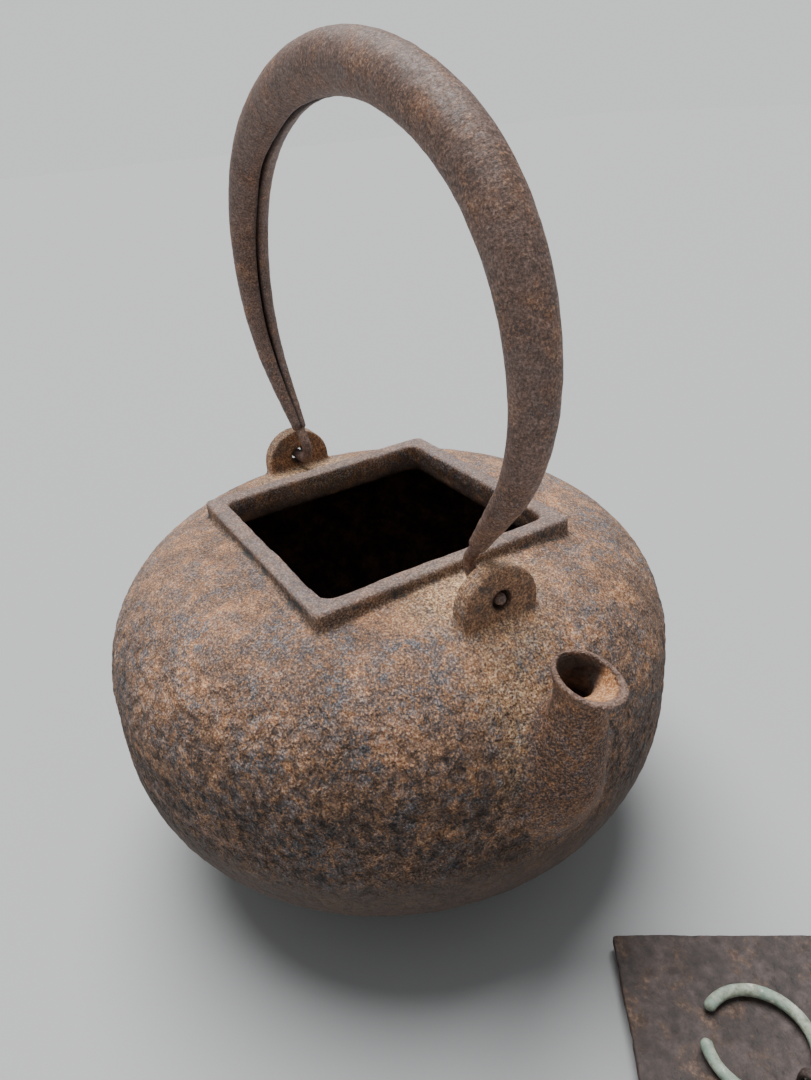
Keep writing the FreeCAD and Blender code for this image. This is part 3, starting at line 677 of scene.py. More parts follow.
def close_ends(piece):
    """Cap the open ends of a swept skin and turn its faces outwards."""
    bm = bmesh.new()
    bm.from_mesh(piece.data)
    edges = [e for e in bm.edges if e.is_boundary]
    bmesh.ops.holes_fill(bm, edges=edges)
    bmesh.ops.recalc_face_normals(bm, faces=bm.faces[:])
    bm.to_mesh(piece.data)
    bm.free()
    piece.data.shade_smooth()
    return piece


def tube_radius(share):
    """Outside radius of the rolled tube at a share of its half length."""
    return TUBE_END + (TUBE_MIDDLE - TUBE_END) * (1 - abs(share) ** TUBE_TAPER)


def make_handle_tube():
    """The rolled handle: a tapered tube with an open seam on its inner side."""
    rings = 520
    around = 72
    turn = np.linspace(-math.pi, math.pi, around, endpoint=False)
    turn = np.sign(turn) * (np.abs(turn) / math.pi) ** 1.35 * math.pi
    turn = np.sort(np.where(np.abs(turn) < 1e-6, 0.02, turn))
    shares = np.linspace(-1, 1, rings)
    ends = 1 - np.abs(shares)
    centres, headings = zip(*(hoop_point(s) for s in shares))

    def section(i):
        share = shares[i]
        radius = (tube_radius(share) - 0.12) * min(1.0, 0.55 + ends[i] * 60)
        arc_length = turn * radius
        fade = min(1.0, ends[i] / 0.22)
        lean = 0.5 * math.sin(share * 9.0) + 0.3 * math.sin(share * 23.0 + 1.0)
        gap = TUBE_SEAM_HALF * (1 + 0.35 * math.sin(share * 31.0)) * fade + 0.05
        off_seam = arc_length - lean * 0.5
        groove = np.exp(-np.abs(off_seam / gap) ** 2.6)
        lips = np.exp(-((np.abs(off_seam) - 1.15) / 0.5) ** 2)
        r = radius - min(TUBE_SEAM_DEPTH, radius * 0.45) * fade * groove + 0.10 * fade * lips
        return np.stack([r * np.cos(turn), r * np.sin(turn)], 1)

    verts, quads = sweep(centres, headings, ACROSS, section)
    outward = away_from(centres, verts, around)
    along = np.repeat(shares * hoop_length(), around)
    facets = np.stack([along / 2.2, outward[:, 0] * 3, outward[:, 1] * 3], 1)
    bumps = 0.07 * layered(verts, 5.0, 71) + 0.05 * noise(facets, 1.0, 72)
    bumps += 0.035 * noise(verts, 1.2, 73)
    verts = verts + outward * bumps[:, None]
    top = cad_box[1][2] / MM
    verts[:, 2] = np.minimum(verts[:, 2], top)
    inner_side = np.tile(np.exp(-((turn * 5.0) / 0.7) ** 2), rings)
    masks = {
        "height": np.clip(0.5 + bumps * 3.2, 0, 1), "seam": inner_side, "along": along * MM,
        "inward": np.tile(np.cos(turn), rings) * TUBE_MIDDLE * MM,
    }
    piece = new_mesh("handle_tube_skin", verts, quads, masks)
    return close_ends(piece)


def hook_path(side):
    """Centre points of a hook, from inside the tube's end to its tip."""
    tube_end, heading = hoop_point(1.0)
    bend_top = HINGE_Z + HOOK_BEND * (1 + math.sin(HOOP_LOWER_ANGLE))
    run = (tube_end[2] - bend_top) / -heading[2]
    start = tube_end - heading * 2.0
    stop = tube_end + heading * run
    centre = stop + np.array((HOOK_BEND * math.cos(HOOP_LOWER_ANGLE), 0, 0))
    centre[2] = HINGE_Z + HOOK_BEND
    points = [start + (stop - start) * t for t in np.linspace(0, 1, 10, endpoint=False)]
    for angle in np.linspace(math.pi - HOOP_LOWER_ANGLE, 1.5 * math.pi, 16):
        points.append(centre + HOOK_BEND * np.array((math.cos(angle), 0, math.sin(angle))))
    tip_x = np.linspace(centre[0], HOOK_REACH, 14)[1:]
    points += [np.array((x, 0.0, HINGE_Z)) for x in tip_x]
    points = np.array(points)
    points[:, 0] *= side
    return points


def make_hook(name, side, seed):
    """Forged rod on the tube's end: slightly flattened, with a blunt rounded tip."""
    points = hook_path(side)
    around = 24
    turn = full_turn(around)
    count = len(points)

    def section(i):
        to_tip = (count - 1 - i) * 0.55
        blunt = math.sqrt(max(0.12, 1 - max(0.0, 1 - to_tip / 1.2) ** 2))
        radius = (HOOK_RADIUS - 0.05) * blunt
        return np.stack([radius * np.cos(turn), radius * 0.94 * np.sin(turn)], 1)

    verts, quads = sweep(points, path_headings(points), ACROSS, section)
    bumps = 0.05 * layered(verts, 1.6, seed)
    verts = verts + away_from(points, verts, around) * bumps[:, None]
    masks = {
        "height": np.clip(0.5 + bumps * 4, 0, 1), "seam": np.zeros(len(verts)),
        "along": verts[:, 2] * MM, "inward": verts[:, 0] * MM,
    }
    return close_ends(new_mesh(name, verts, quads, masks))


# ------------------------------------------------------------------ lid
LID_LOW, LID_HIGH = box_mm("lid_plate")
LID_CENTRE = (LID_LOW + LID_HIGH) / 2
LID_TURN = math.radians(55.6)
LID_HALF = 35.8
LIP_OUTER, LIP_INNER = 30.8, 28.2
RING_TURN = LID_TURN + math.radians(134.0)
RING_PIVOT = np.array(HINGE["ring_swing"]["pos_m"]) / MM
RING_RADIUS, RING_WIRE = 11.75, 1.5
RING_GAP, RING_GAP_DIRECTION = math.radians(36.0), math.radians(26.0)
EYE_CLEAR, EYE_STRIP, EYE_WIDTH, EYE_CLINCH = 1.9, 1.2, 2.2, 4.0


def turned(points, angle, centre):
    """Points turned about Z and moved to a centre on the floor."""
    c, s = math.cos(angle), math.sin(angle)
    spun = np.stack([points[:, 0] * c - points[:, 1] * s, points[:, 0] * s + points[:, 1] * c,
                     points[:, 2]], 1)
    return spun + np.array((centre[0], centre[1], 0.0))


def lid_field(x, y, z):
    """Square plate with its locating lip, about the origin."""
    plate = rounded_box(x, y, z, (-LID_HALF, -LID_HALF, LID_LOW[2]),
                        (LID_HALF, LID_HALF, LID_HIGH[2]), 1.4, 0.55)
    lip = rounded_box(x, y, z, (-LIP_OUTER, -LIP_OUTER, 0.0),
                      (LIP_OUTER, LIP_OUTER, LID_LOW[2] + 0.6), 1.4, 0.4)
    hollow = rounded_box(x, y, z, (-LIP_INNER, -LIP_INNER, -2.0),
                         (LIP_INNER, LIP_INNER, LID_LOW[2]), 1.0, 0.3)
    return np.minimum(plate, blend_cut(lip, hollow, 0.4))


def make_lid():
    """Rusted lid: uneven edges, pitted faces and the lip below."""
    step = 0.6
    reach = LID_HALF + 1.2
    verts, quads = surface_net(lid_field, (-reach, -reach, -1.2), (reach, reach, 7.2), step)
    verts = settle(lid_field, verts, step)
    normals = unit_normals(lid_field, verts)
    near, _ = cells(verts, 4.2, 81)
    pits = np.clip(0.42 - near, 0, 1)
    bumps = 0.10 * layered(verts, 6.0, 82) + 0.07 * layered(verts, 1.8, 83, 2) - 0.5 * pits - 0.16
    edge = np.maximum(np.abs(verts[:, 0]), np.abs(verts[:, 1])) > LID_HALF - 0.3
    bumps = np.where(edge, bumps + 0.22 * noise(verts, 7.0, 84) - 0.15, bumps)
    verts = verts + normals * bumps[:, None]
    verts[:, 2] = np.maximum(verts[:, 2], 0.0)
    masks = {"height": np.clip(0.6 + bumps * 2.0, 0, 1), "edge": edge}
    return new_mesh("lid_casting", turned(verts, LID_TURN, LID_CENTRE), quads, masks)


def make_eye():
    """Iron staple that holds the ring: an arch and two legs bent over below the plate."""
    top = LID_HIGH[2] + EYE_CLEAR
    mean = EYE_CLEAR + EYE_STRIP / 2
    below = LID_LOW[2] - EYE_STRIP / 2
    toe = mean + EYE_CLINCH
    half = [(mean, z) for z in np.linspace(top, below + 1.0, 9)]
    half += [(mean + 0.3, below + 0.25), (mean + 1.0, below)]
    half += [(x, below) for x in np.linspace(mean + 1.8, toe, 5)]
    arch = [(mean * math.cos(a), top + mean * math.sin(a)) for a in np.linspace(0, math.pi, 15)]
    path = half[::-1][:-1] + arch + [(-x, z) for x, z in half[1:]]
    points = np.array([(x, 0.0, z) for x, z in path])
    turn = full_turn(16)
    square = (np.abs(np.cos(turn)) ** 4 + np.abs(np.sin(turn)) ** 4) ** -0.25
    strip = np.stack([square * np.cos(turn) * EYE_STRIP * 0.49,
                      square * np.sin(turn) * EYE_WIDTH * 0.48], 1)
    verts, quads = sweep(points, path_headings(points), ACROSS, lambda i: strip)
    bumps = 0.05 * layered(verts, 1.5, 91, 2)
    verts = verts + bumps[:, None] * np.array((0.3, 1.0, 0.3))
    verts = turned(verts, RING_TURN, RING_PIVOT)
    masks = {"height": np.clip(0.5 + bumps * 4, 0, 1)}
    return close_ends(new_mesh("lid_eye_staple", verts, quads, masks))


def make_ring():
    """Open ring of uneven wire, lying flat from the staple."""
    count = 190
    around = 28
    turn = full_turn(around)
    start = RING_GAP_DIRECTION + RING_GAP / 2
    angles = np.linspace(start, start + 2 * math.pi - RING_GAP, count)
    points = np.stack([RING_RADIUS * (1 + np.cos(angles)), RING_RADIUS * np.sin(angles),
                       np.full(count, RING_PIVOT[2])], 1)
    headings = np.stack([-np.sin(angles), np.cos(angles), np.zeros(count)], 1)
    wear = 0.07 * noise(np.stack([angles * 2.3, angles * 0, angles * 0], 1), 1.0, 95)

    def section(i):
        to_end = min(i, count - 1 - i) * RING_RADIUS * (angles[1] - angles[0])
        blunt = math.sqrt(max(0.25, 1 - max(0.0, 1 - to_end / 1.0) ** 2))
        radius = (RING_WIRE - 0.12 + wear[i]) * blunt
        return np.stack([radius * np.cos(turn), radius * 0.96 * np.sin(turn)], 1)

    up = np.array((0.0, 0.0, 1.0))
    verts, quads = sweep(points, headings, up, section)
    bumps = 0.05 * layered(verts, 1.6, 96)
    verts = verts + away_from(points, verts, around) * bumps[:, None]
    verts = turned(verts, RING_TURN, RING_PIVOT)
    masks = {"height": np.clip(0.5 + bumps * 5, 0, 1)}
    return close_ends(new_mesh("lid_ring_wire", verts, quads, masks))


# ------------------------------------------------------------------ materials
class Shader:
    """A small helper that builds one node material."""

    def __init__(self, name):
        self.material = bpy.data.materials.new(name)
        self.material.use_nodes = True
        self.tree = self.material.node_tree
        self.tree.nodes.clear()
        self.output = self.tree.nodes.new("ShaderNodeOutputMaterial")
        self.coords = self.tree.nodes.new("ShaderNodeTexCoord").outputs["Object"]

    def node(self, kind, values=None, **settings):
        """Add a node; values are numbers, colours or sockets for its inputs."""
        made = self.tree.nodes.new(f"ShaderNode{kind}")
        for key, value in settings.items():
            setattr(made, key, value)
        for key, value in (values or {}).items():
            if isinstance(value, bpy.types.NodeSocket):
                self.tree.links.new(value, made.inputs[key])
            else:
                made.inputs[key].default_value = value
        return made

    def noise(self, size_mm, detail=3.0, roughness=0.6, distortion=0.0, shift=0.0):
        """Noise whose features are about this many millimetres across."""
        place = self.coords
        if shift:
            moved = self.node("VectorMath", {0: place, 1: (shift, shift * 0.7, -shift)},
                              operation="ADD")
            place = moved.outputs[0]
        made = self.node("TexNoise", {
            "Vector": place, "Scale": 1.0 / (size_mm * MM), "Detail": detail,
            "Roughness": roughness, "Distortion": distortion,
        })
        return made.outputs["Fac"]

    def ramp(self, factor, stops):
        """Colour ramp from (position, colour or grey) stops."""
        made = self.node("ValToRGB", {"Fac": factor})
        points = made.color_ramp.elements
        while len(points) < len(stops):
            points.new(0.5)
        for point, (position, colour) in zip(points, stops):
            point.position = position
            grey = isinstance(colour, (int, float))
            point.color = (colour, colour, colour, 1) if grey else (*colour, 1)
        return made.outputs["Color"]

    def pebbles(self, size_mm):
        """Rounded bumps with narrow crevices between them, about this many millimetres apart."""
        drift = self.node("TexNoise", {"Vector": self.coords, "Scale": 0.7 / (size_mm * MM),
                                       "Detail": 2.0}).outputs["Color"]
        drift = self.node("VectorMath", {0: drift, 1: (0.0011, 0.0011, 0.0011)},
                          operation="MULTIPLY").outputs[0]
        place = self.node("VectorMath", {0: self.coords, 1: drift}, operation="ADD").outputs[0]
        made = self.node("TexVoronoi", {"Vector": place, "Scale": 1.0 / (size_mm * MM),
                                        "Smoothness": 0.35}, feature="SMOOTH_F1")
        return made.outputs["Distance"]

    def mix(self, factor, a, b, blend="MIX"):
        """Mix two colours."""
        made = self.node("Mix", data_type="RGBA", blend_type=blend)
        for index, value in ((0, factor), (6, a), (7, b)):
            if isinstance(value, bpy.types.NodeSocket):
                self.tree.links.new(value, made.inputs[index])
            elif index == 0:
                made.inputs[index].default_value = value
            else:
                made.inputs[index].default_value = (*value, 1)
        return made.outputs[2]

    def tint(self, factor, colour, by):
        """Multiply a colour by another one."""
        return self.mix(factor, colour, by, "MULTIPLY")

    def maths(self, operation, a, b, clamp=False):
        """One Math node."""
        return self.node("Math", {0: a, 1: b}, operation=operation, use_clamp=clamp).outputs[0]

    def attribute(self, name):
        """A float attribute of the mesh."""
        return self.node("Attribute", attribute_name=name).outputs["Fac"]

    def share(self, name, amount):
        """A number times a float attribute of the mesh."""
        return self.maths("MULTIPLY", self.attribute(name), amount)

    def bump(self, height, distance_mm, strength=1.0, normal=None):
        """Bump by a height map."""
        values = {"Height": height, "Distance": distance_mm * MM, "Strength": strength}
        if normal is not None:
            values["Normal"] = normal
        return self.node("Bump", values).outputs["Normal"]

    def finish(self, colour, roughness, normal, metallic=0.0, specular=0.4):
        """Connect the surface."""
        surface = self.node("BsdfPrincipled", {
            "Base Color": colour, "Roughness": roughness, "Normal": normal,
            "Metallic": metallic, "Specular IOR Level": specular,
        })
        self.tree.links.new(surface.outputs[0], self.output.inputs["Surface"])
        return self.material


UMBER = (0.040, 0.027, 0.022)
BROWN = (0.110, 0.070, 0.052)
SIENNA = (0.200, 0.105, 0.062)
RUST = (0.400, 0.150, 0.052)
OCHRE = (0.600, 0.320, 0.150)
STRAW = (0.820, 0.640, 0.450)
SLATE = (0.088, 0.094, 0.108)
ASH = (0.300, 0.300, 0.315)
MAUVE = (0.168, 0.126, 0.114)
TEAL = (0.035, 0.045, 0.050)
# dark rust of the inside, under painted shade
INSIDE_RUST_IN_SHADE = (0.060, 0.036, 0.026)
# painted shade in the ear holes
HOLE_SHADE = (0.030, 0.014, 0.009)
SEAM_SHADE = (0.014, 0.008, 0.006)
SEAM_PINK = (0.36, 0.23, 0.19)
VERDIGRIS = (0.16, 0.27, 0.22)
BARE_METAL = (0.62, 0.58, 0.50)

# colours of the grains of each kind of rust and of the painted shade and sheen, from the darkest
# grain to the palest
GROUND = [(0.30, UMBER), (0.44, BROWN), (0.54, SIENNA), (0.70, OCHRE)]
BLOOM = [(0.30, BROWN), (0.43, RUST), (0.56, OCHRE), (0.70, STRAW)]
FLECKS = [(0.32, (0.034, 0.036, 0.042)), (0.50, SLATE), (0.68, ASH)]
GOLD = [(0.32, BROWN), (0.43, (0.40, 0.205, 0.085)), (0.53, (0.76, 0.48, 0.24)),
        (0.66, (1.0, 0.83, 0.58))]
# painted shade under the belly
LOW_BELLY_SHADE = [(0.34, (0.030, 0.022, 0.018)), (0.50, (0.082, 0.058, 0.046)),
             (0.68, (0.15, 0.108, 0.084))]
LUG_RUST = [(0.32, (0.075, 0.040, 0.024)), (0.50, (0.215, 0.110, 0.060)),
            (0.68, (0.50, 0.27, 0.14))]
RIM_SIDE = [(0.36, (0.042, 0.028, 0.021)), (0.50, (0.125, 0.078, 0.054)),
            (0.64, (0.30, 0.20, 0.135))]
RIM_TOP = [(0.30, (0.095, 0.070, 0.062)), (0.50, MAUVE), (0.70, (0.30, 0.24, 0.225))]
SPOUT_RUST = [(0.34, (0.026, 0.016, 0.012)), (0.48, (0.100, 0.056, 0.037)),
              (0.64, (0.46, 0.235, 0.120))]
TONGUE_RUST = [(0.34, (0.24, 0.095, 0.035)), (0.50, (0.48, 0.22, 0.09)),
               (0.66, (0.76, 0.48, 0.28))]
LIP_EDGE = [(0.34, (0.13, 0.078, 0.060)), (0.6, (0.30, 0.195, 0.155))]
INSIDE = [(0.35, (0.030, 0.018, 0.014)), (0.50, INSIDE_RUST_IN_SHADE), (0.66, (0.170, 0.085, 0.048))]
# painted shade on the mouth's inner wall
MOUTH_WALL_SHADE = [(0.35, (0.022, 0.013, 0.010)), (0.65, (0.090, 0.050, 0.032))]
# mauve film, partly a painted sheen
HANDLE_FILM_AND_SHEEN = [(0.30, (0.085, 0.055, 0.046)), (0.50, (0.175, 0.120, 0.102)),
               (0.70, (0.30, 0.225, 0.20))]
LID_GROUND = [(0.34, (0.060, 0.047, 0.044)), (0.50, (0.115, 0.092, 0.088)),
              (0.66, (0.180, 0.148, 0.146))]
LID_RUST = [(0.36, (0.10, 0.06, 0.045)), (0.52, (0.21, 0.125, 0.08)),
            (0.66, (0.42, 0.29, 0.20))]
STAPLE = [(0.35, (0.020, 0.015, 0.014)), (0.6, (0.06, 0.04, 0.034)), (0.8, (0.2, 0.11, 0.06))]
PATINA = [(0.3, (0.13, 0.15, 0.11)), (0.5, (0.27, 0.30, 0.23)), (0.72, (0.42, 0.46, 0.38))]


def rust_base(shader, slate, orange, dark):
    """The mottled skin all the iron shares: brown grains, rust bloom and slate-grey flecks."""
    wide = shader.noise(17, 3, 0.65, 0.4)
    patch = shader.noise(8, 4, 0.7, 0.4, 0.31)
    grain = shader.noise(1.05, 4, 0.8, 0.0, 0.17)
    speck = shader.noise(0.50, 2, 0.8, 0.0, 0.53)
    bloom_mask = shader.ramp(patch, [(0.60 - 0.22 * orange, 0.0), (0.78 - 0.16 * orange, 0.78)])
    colour = shader.mix(bloom_mask, shader.ramp(speck, GROUND), shader.ramp(speck, BLOOM))
    fleck = shader.ramp(shader.noise(2.1, 5, 0.85, 0.0, 0.91), [(0.46, 0.0), (0.53, 1.0)])
    cluster = shader.ramp(shader.noise(13, 4, 0.7, 0.6, 1.3),
                          [(0.56 - 0.30 * slate, 0.15), (0.74 - 0.2 * slate, 0.85)])
    fleck_mask = shader.maths("MULTIPLY", fleck, cluster)
    colour = shader.mix(fleck_mask, colour, shader.ramp(speck, FLECKS))
    colour = shader.tint(1.0, colour, shader.ramp(wide, [(0.36, 1.0 - 0.40 * dark), (0.56, 1.0)]))
    return colour, grain, speck


def casting_material():
    """Skin of the casting: pebbled, rusted and golden round the ears; painted shade darkens its
    pits, crevices, ear holes, lower belly and black inside, and painted light brightens its top.
    """
    shader = Shader("cast_iron_rust")
    colour, grain, speck = rust_base(shader, slate=0.62, orange=0.62, dark=0.5)
    mask = shader.attribute
    share = shader.share
    # painted shade: the skin's low spots are darkened and its tops lightened, standing in for shade
    # in the pits
    pits = shader.ramp(mask("height"), [(0.05, 0.45), (0.50, 0.88), (0.80, 1.08)])
    colour = shader.tint(0.9, colour, pits)
    pebbles = shader.pebbles(3.1)
    # painted shade darkens the crevices between the pebbles
    crevices = shader.ramp(pebbles, [(0.25, 1.10), (0.50, 0.85), (0.70, 0.50)])
    colour = shader.tint(shader.maths("ADD", share("pebbled", 0.6), 0.08), colour, crevices)
    leather = shader.noise(2.1, 2, 0.6, 0.3, 0.7)
    # painted shade darkens the hollows of the leathery grain and lightens its tops
    hollow_shade = shader.ramp(leather, [(0.36, 0.34), (0.46, 0.86), (0.60, 1.26)])
    leather_mask = shader.maths("ADD", share("spout", 0.3), 0.14)
    leather_mask = shader.maths("ADD", mask("pebbled"), leather_mask, True)
    colour = shader.tint(leather_mask, colour, hollow_shade)
    scatter = shader.ramp(grain, [(0.42, 0.0), (0.58, 0.8)])
    gold_mask = shader.maths("MULTIPLY", mask("gold"), scatter)
    colour = shader.mix(gold_mask, colour, shader.ramp(speck, GOLD))
    # painted light and shade: lighter near the top and darker towards the bottom, as light from
    # above falls
    level = shader.node("SeparateXYZ", {0: shader.coords}).outputs["Z"]
    level = shader.maths("DIVIDE", level, 100 * MM)
    painted_height_shade = shader.ramp(level, [(0.42, 0.53), (0.62, 0.93), (0.86, 1.27)])
    colour = shader.tint(1.0, colour, painted_height_shade)
    # painted shade under the belly: dark grains below the parting seam
    colour = shader.mix(share("low", 0.7), colour, shader.ramp(grain, LOW_BELLY_SHADE))
    colour = shader.mix(share("lug", 0.85), colour, shader.ramp(speck, LUG_RUST))
    # painted shade in and round the ear holes
    colour = shader.mix(share("hole", 0.85), colour, HOLE_SHADE)
    teal = shader.ramp(shader.noise(5, 3, 0.6, 0.3, 0.4), [(0.52, 0.0), (0.62, 0.8)])
    teal_mask = shader.maths("MAXIMUM", mask("rim_side"), share("lug", 0.7))
    colour = shader.mix(share("rim_side", 0.75), colour, shader.ramp(speck, RIM_SIDE))
    colour = shader.mix(shader.maths("MULTIPLY", teal, teal_mask), colour, TEAL)
    colour = shader.mix(share("rim", 0.7), colour, shader.ramp(speck, RIM_TOP))
    colour = shader.mix(share("spout", 0.45), colour, shader.ramp(speck, SPOUT_RUST))
    colour = shader.tint(mask("spout"), colour, (0.78, 0.74, 0.72))
    colour = shader.mix(mask("lip"), colour, shader.ramp(speck, TONGUE_RUST))
    colour = shader.mix(share("lip_edge", 0.8), colour, shader.ramp(speck, LIP_EDGE))
    colour = shader.mix(share("ridge", 0.75), colour, SEAM_PINK)
    # painted shade over dark rust inside the body and the spout's bore, darker deeper down
    colour = shader.mix(mask("inside"), colour, shader.ramp(shader.noise(7, 4, 0.7), INSIDE))
    # painted shade on the mouth's inner wall, darker deeper down
    colour = shader.mix(share("mouth_wall_shade", 0.8), colour, shader.ramp(grain, MOUTH_WALL_SHADE))
    rough = shader.ramp(grain, [(0.35, 0.58), (0.65, 0.90)])
    downward = shader.maths("ADD", share("pebbled", -1.0), -0.12)
    bumps = shader.bump(shader.maths("MULTIPLY", pebbles, downward), 2.4)
    bumps = shader.bump(shader.maths("MULTIPLY", leather, leather_mask), 3.8, 1.0, bumps)
    smoother_rim = shader.maths("SUBTRACT", 1.0, share("rim", 0.7), True)
    bumps = shader.bump(grain, 0.42, smoother_rim, bumps)
    bumps = shader.bump(speck, 0.22, smoother_rim, bumps)
    return shader.finish(colour, rough, bumps)


def handle_material():
    """Smoother wrought skin: a mauve-brown film, partly a painted sheen, with fine streaks across
    the tube and painted shade in its dents.
    """
    shader = Shader("wrought_handle_rust")
    colour, grain, speck = rust_base(shader, slate=0.36, orange=0.55, dark=0.35)
    # painted shade in the handle's dents
    dent_shade = shader.ramp(shader.attribute("height"), [(0.1, 0.6), (0.6, 1.0)])
    colour = shader.tint(0.6, colour, dent_shade)
    # painted sheen: paler mauve film in patches, partly the film's own colour and partly a painted
    # sheen
    sheen = shader.ramp(shader.noise(9, 4, 0.65, 0.5, 0.9), [(0.42, 0.35), (0.58, 0.85)])
    colour = shader.mix(sheen, colour, shader.ramp(speck, HANDLE_FILM_AND_SHEEN))
    sideways = shader.node("SeparateXYZ", {0: shader.coords}).outputs["Y"]
    stretch = 0.3
    place = shader.node("CombineXYZ", {
        0: shader.attribute("along"), 1: shader.maths("MULTIPLY", sideways, stretch),
        2: shader.share("inward", stretch),
    }).outputs[0]
    streak = shader.node("TexNoise", {"Vector": place, "Scale": 1 / (1.0 * MM), "Detail": 3.0,
                                      "Roughness": 0.7}).outputs["Fac"]
    colour = shader.tint(0.75, colour, shader.ramp(streak, [(0.35, 0.70), (0.65, 1.25)]))
    colour = shader.mix(shader.share("seam", 0.9), colour, SEAM_SHADE)
    colour = shader.tint(1.0, colour, (0.76, 0.70, 0.67))
    rough = shader.ramp(grain, [(0.35, 0.46), (0.65, 0.78)])
    bumps = shader.bump(shader.noise(3.5, 2, 0.5), 0.35)
    bumps = shader.bump(streak, 0.16, 1.0, bumps)
    bumps = shader.bump(grain, 0.12, 1.0, bumps)
    return shader.finish(colour, rough, bumps)


def lid_material():
    """Dark purple-brown rust with orange blooms and painted shade in its pits."""
    shader = Shader("lid_rust")
    grain = shader.noise(2.0, 4, 0.7)
    speck = shader.noise(1.0, 3, 0.65, 0.0, 0.4)
    bloom = shader.ramp(shader.noise(9, 5, 0.75, 0.5, 0.2), [(0.52, 0.0), (0.66, 0.75)])
    colour = shader.mix(bloom, shader.ramp(grain, LID_GROUND), shader.ramp(speck, LID_RUST))
    # painted shade in the lid's pits
    pits = shader.ramp(shader.attribute("height"), [(0.1, 0.3), (0.6, 1.0)])
    colour = shader.tint(0.8, colour, pits)
    colour = shader.mix(shader.share("edge", 0.8), colour, (0.060, 0.030, 0.018))
    colour = shader.tint(1.0, colour, (0.74, 0.69, 0.66))
    rough = shader.ramp(grain, [(0.3, 0.55), (0.7, 0.85)])
    bumps = shader.bump(shader.noise(2.4, 4, 0.65), 0.55)
    bumps = shader.bump(speck, 0.18, 1.0, bumps)
    return shader.finish(colour, rough, bumps)


def eye_material():
    """Nearly black iron with a little rust."""
    shader = Shader("staple_iron")
    grain = shader.noise(0.9, 4, 0.7)
    rough = shader.ramp(grain, [(0.3, 0.5), (0.7, 0.85)])
    return shader.finish(shader.ramp(grain, STAPLE), rough, shader.bump(grain, 0.2))


def ring_material():
    """Old bronze: grey-green patina with bare, brighter spots."""
    shader = Shader("ring_patina")
    grain = shader.noise(1.3, 4, 0.7)
    wide = shader.noise(5.0, 3, 0.6, 0.4, 0.3)
    green = shader.ramp(wide, [(0.45, 0.0), (0.65, 0.6)])
    colour = shader.mix(green, shader.ramp(grain, PATINA), VERDIGRIS)
    bare = shader.ramp(shader.noise(3.0, 3, 0.6, 0.0, 0.6), [(0.60, 0.0), (0.70, 1.0)])
    colour = shader.mix(bare, colour, BARE_METAL)
    rough = shader.ramp(grain, [(0.3, 0.42), (0.7, 0.75)])
    metal = shader.maths("MULTIPLY", bare, 0.5)
    return shader.finish(colour, rough, shader.bump(grain, 0.15), metal)


# ------------------------------------------------------------------ stage, light, camera
FLOOR_COLOUR = (0.375, 0.38, 0.385)
HORIZON_COLOUR = (0.83, 0.845, 0.855)
OVERHEAD_SHARE = 0.42           # the sky overhead, against the horizon
SKY_FADE = (0.10, 0.30)         # heights between which the sky darkens, as a unit vector's Z
KEY_DIRECTION = (-0.29, 0.05, 0.95)
KEY_ANGLE = math.radians(45)
FLOOR_HALF = 4000

CAMERA_PLACE = (0.17030, -0.08709, 0.19573)
CAMERA_RIGHT = Vector((0.52150, 0.85004, -0.07392))
CAMERA_UP = Vector((-0.38301, 0.31063, 0.86995))
CAMERA_SENSOR, CAMERA_LENS = 36.0, 26.54


def make_stage():
    """Large plain pale floor."""
    verts = [(x * FLOOR_HALF, y * FLOOR_HALF, 0) for x, y in ((-1, -1), (1, -1), (1, 1), (-1, 1))]
    floor = new_mesh("floor", verts, [(0, 1, 2, 3)])
    material = bpy.data.materials.new("floor_paint")
    material.use_nodes = True
    surface = material.node_tree.nodes["Principled BSDF"]
    surface.inputs["Base Color"].default_value = (*FLOOR_COLOUR, 1)
    surface.inputs["Roughness"].default_value = 0.9
    floor.data.materials.append(material)


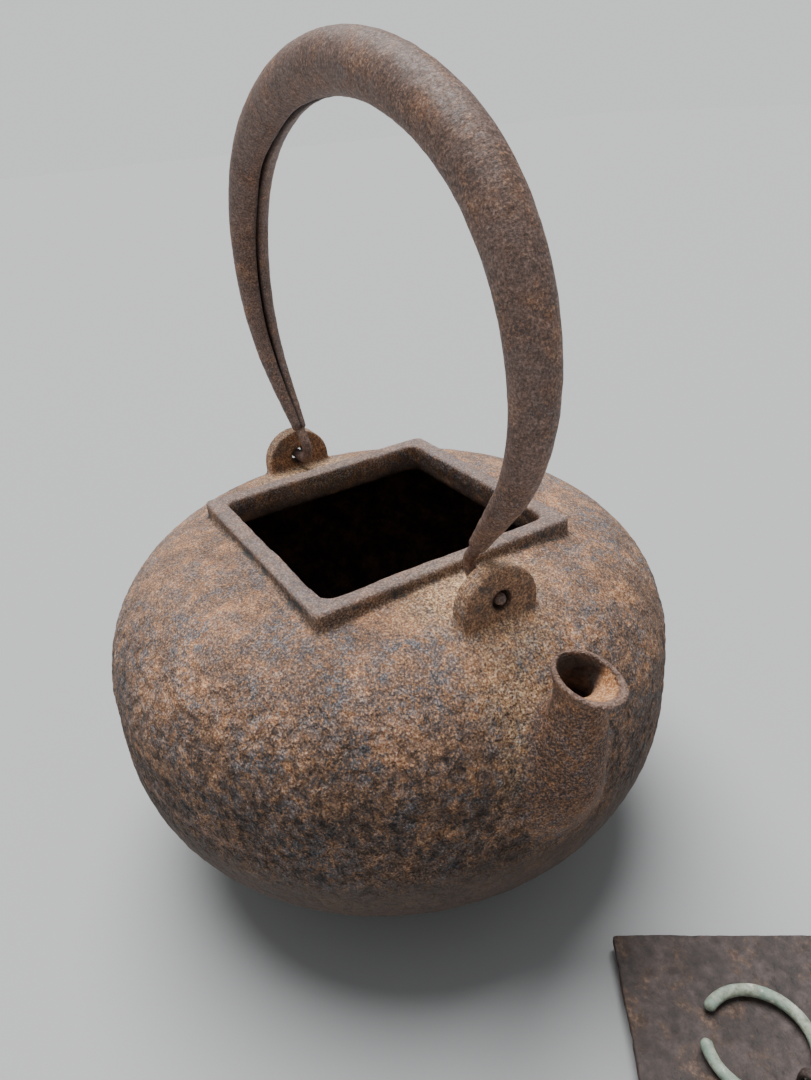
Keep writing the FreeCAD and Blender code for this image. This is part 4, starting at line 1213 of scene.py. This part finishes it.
def make_light():
    """Soft studio light: a sky that is palest at the horizon and a broad, high sun.

    The sun is as strong as makes the sunlit floor the same tone as the horizon.
    """
    world = bpy.data.worlds.new("studio")
    world.use_nodes = True
    tree = world.node_tree
    background = tree.nodes["Background"]
    direction = tree.nodes.new("ShaderNodeTexCoord").outputs["Generated"]
    height = tree.nodes.new("ShaderNodeSeparateXYZ")
    tree.links.new(direction, height.inputs[0])
    fade = tree.nodes.new("ShaderNodeValToRGB")
    tree.links.new(height.outputs["Z"], fade.inputs["Fac"])
    stops = fade.color_ramp.elements
    stops[0].position, stops[1].position = SKY_FADE
    stops[0].color = (*HORIZON_COLOUR, 1)
    stops[1].color = (*(OVERHEAD_SHARE * c for c in HORIZON_COLOUR), 1)
    tree.links.new(fade.outputs["Color"], background.inputs["Color"])
    bpy.context.scene.world = world
    lamp = bpy.data.lights.new("key", "SUN")
    lamp.angle = KEY_ANGLE
    towards = Vector(KEY_DIRECTION).normalized()
    floor_light = HORIZON_COLOUR[1] * (0.98 / FLOOR_COLOUR[1] - OVERHEAD_SHARE * 1.05)
    lamp.energy = floor_light * math.pi / towards.z
    item = bpy.data.objects.new("key", lamp)
    item.rotation_euler = towards.to_track_quat("Z", "Y").to_euler()
    bpy.context.scene.collection.objects.link(item)


def make_camera():
    """Camera at the photograph's viewing angle."""
    camera = bpy.data.cameras.new("camera")
    camera.sensor_width = CAMERA_SENSOR
    camera.lens = CAMERA_LENS
    camera.clip_start = 0.01
    item = bpy.data.objects.new("camera", camera)
    back = CAMERA_RIGHT.cross(CAMERA_UP)
    turn = Matrix((CAMERA_RIGHT, CAMERA_UP, back)).transposed().to_4x4()
    item.matrix_world = Matrix.Translation(CAMERA_PLACE) @ turn
    bpy.context.scene.collection.objects.link(item)
    bpy.context.scene.camera = item


# ------------------------------------------------------------------ build
def dress(piece, material, body, slot, *nodes):
    """Give a piece its material and its body, and hide the CAD nodes it stands for. The slot is not
    used.
    """
    piece.data.materials.append(material)
    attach(piece, body)
    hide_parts(*nodes)


upper, lower = make_casting()
cast_skin_material = casting_material()
dress(upper, cast_skin_material, "kettle", "body_iron",
      "upper_shell", "mouth_rim", "spout", "front_lug", "rear_lug")
dress(lower, cast_skin_material, "kettle", "body_iron", "lower_shell")

wrought = handle_material()
dress(make_handle_tube(), wrought, "handle", "handle_iron", "handle_tube")
dress(make_hook("front_hook_rod", 1, 101), wrought, "handle", "handle_iron", "front_hook")
dress(make_hook("rear_hook_rod", -1, 102), wrought, "handle", "handle_iron", "rear_hook")

dress(make_lid(), lid_material(), "lid", "lid_iron", "lid_plate", "lid_lip")
dress(make_eye(), eye_material(), "lid", "eye_iron", "lid_eye")
dress(make_ring(), ring_material(), "ring", "ring_brass", "lid_ring")

make_stage()
make_light()
make_camera()
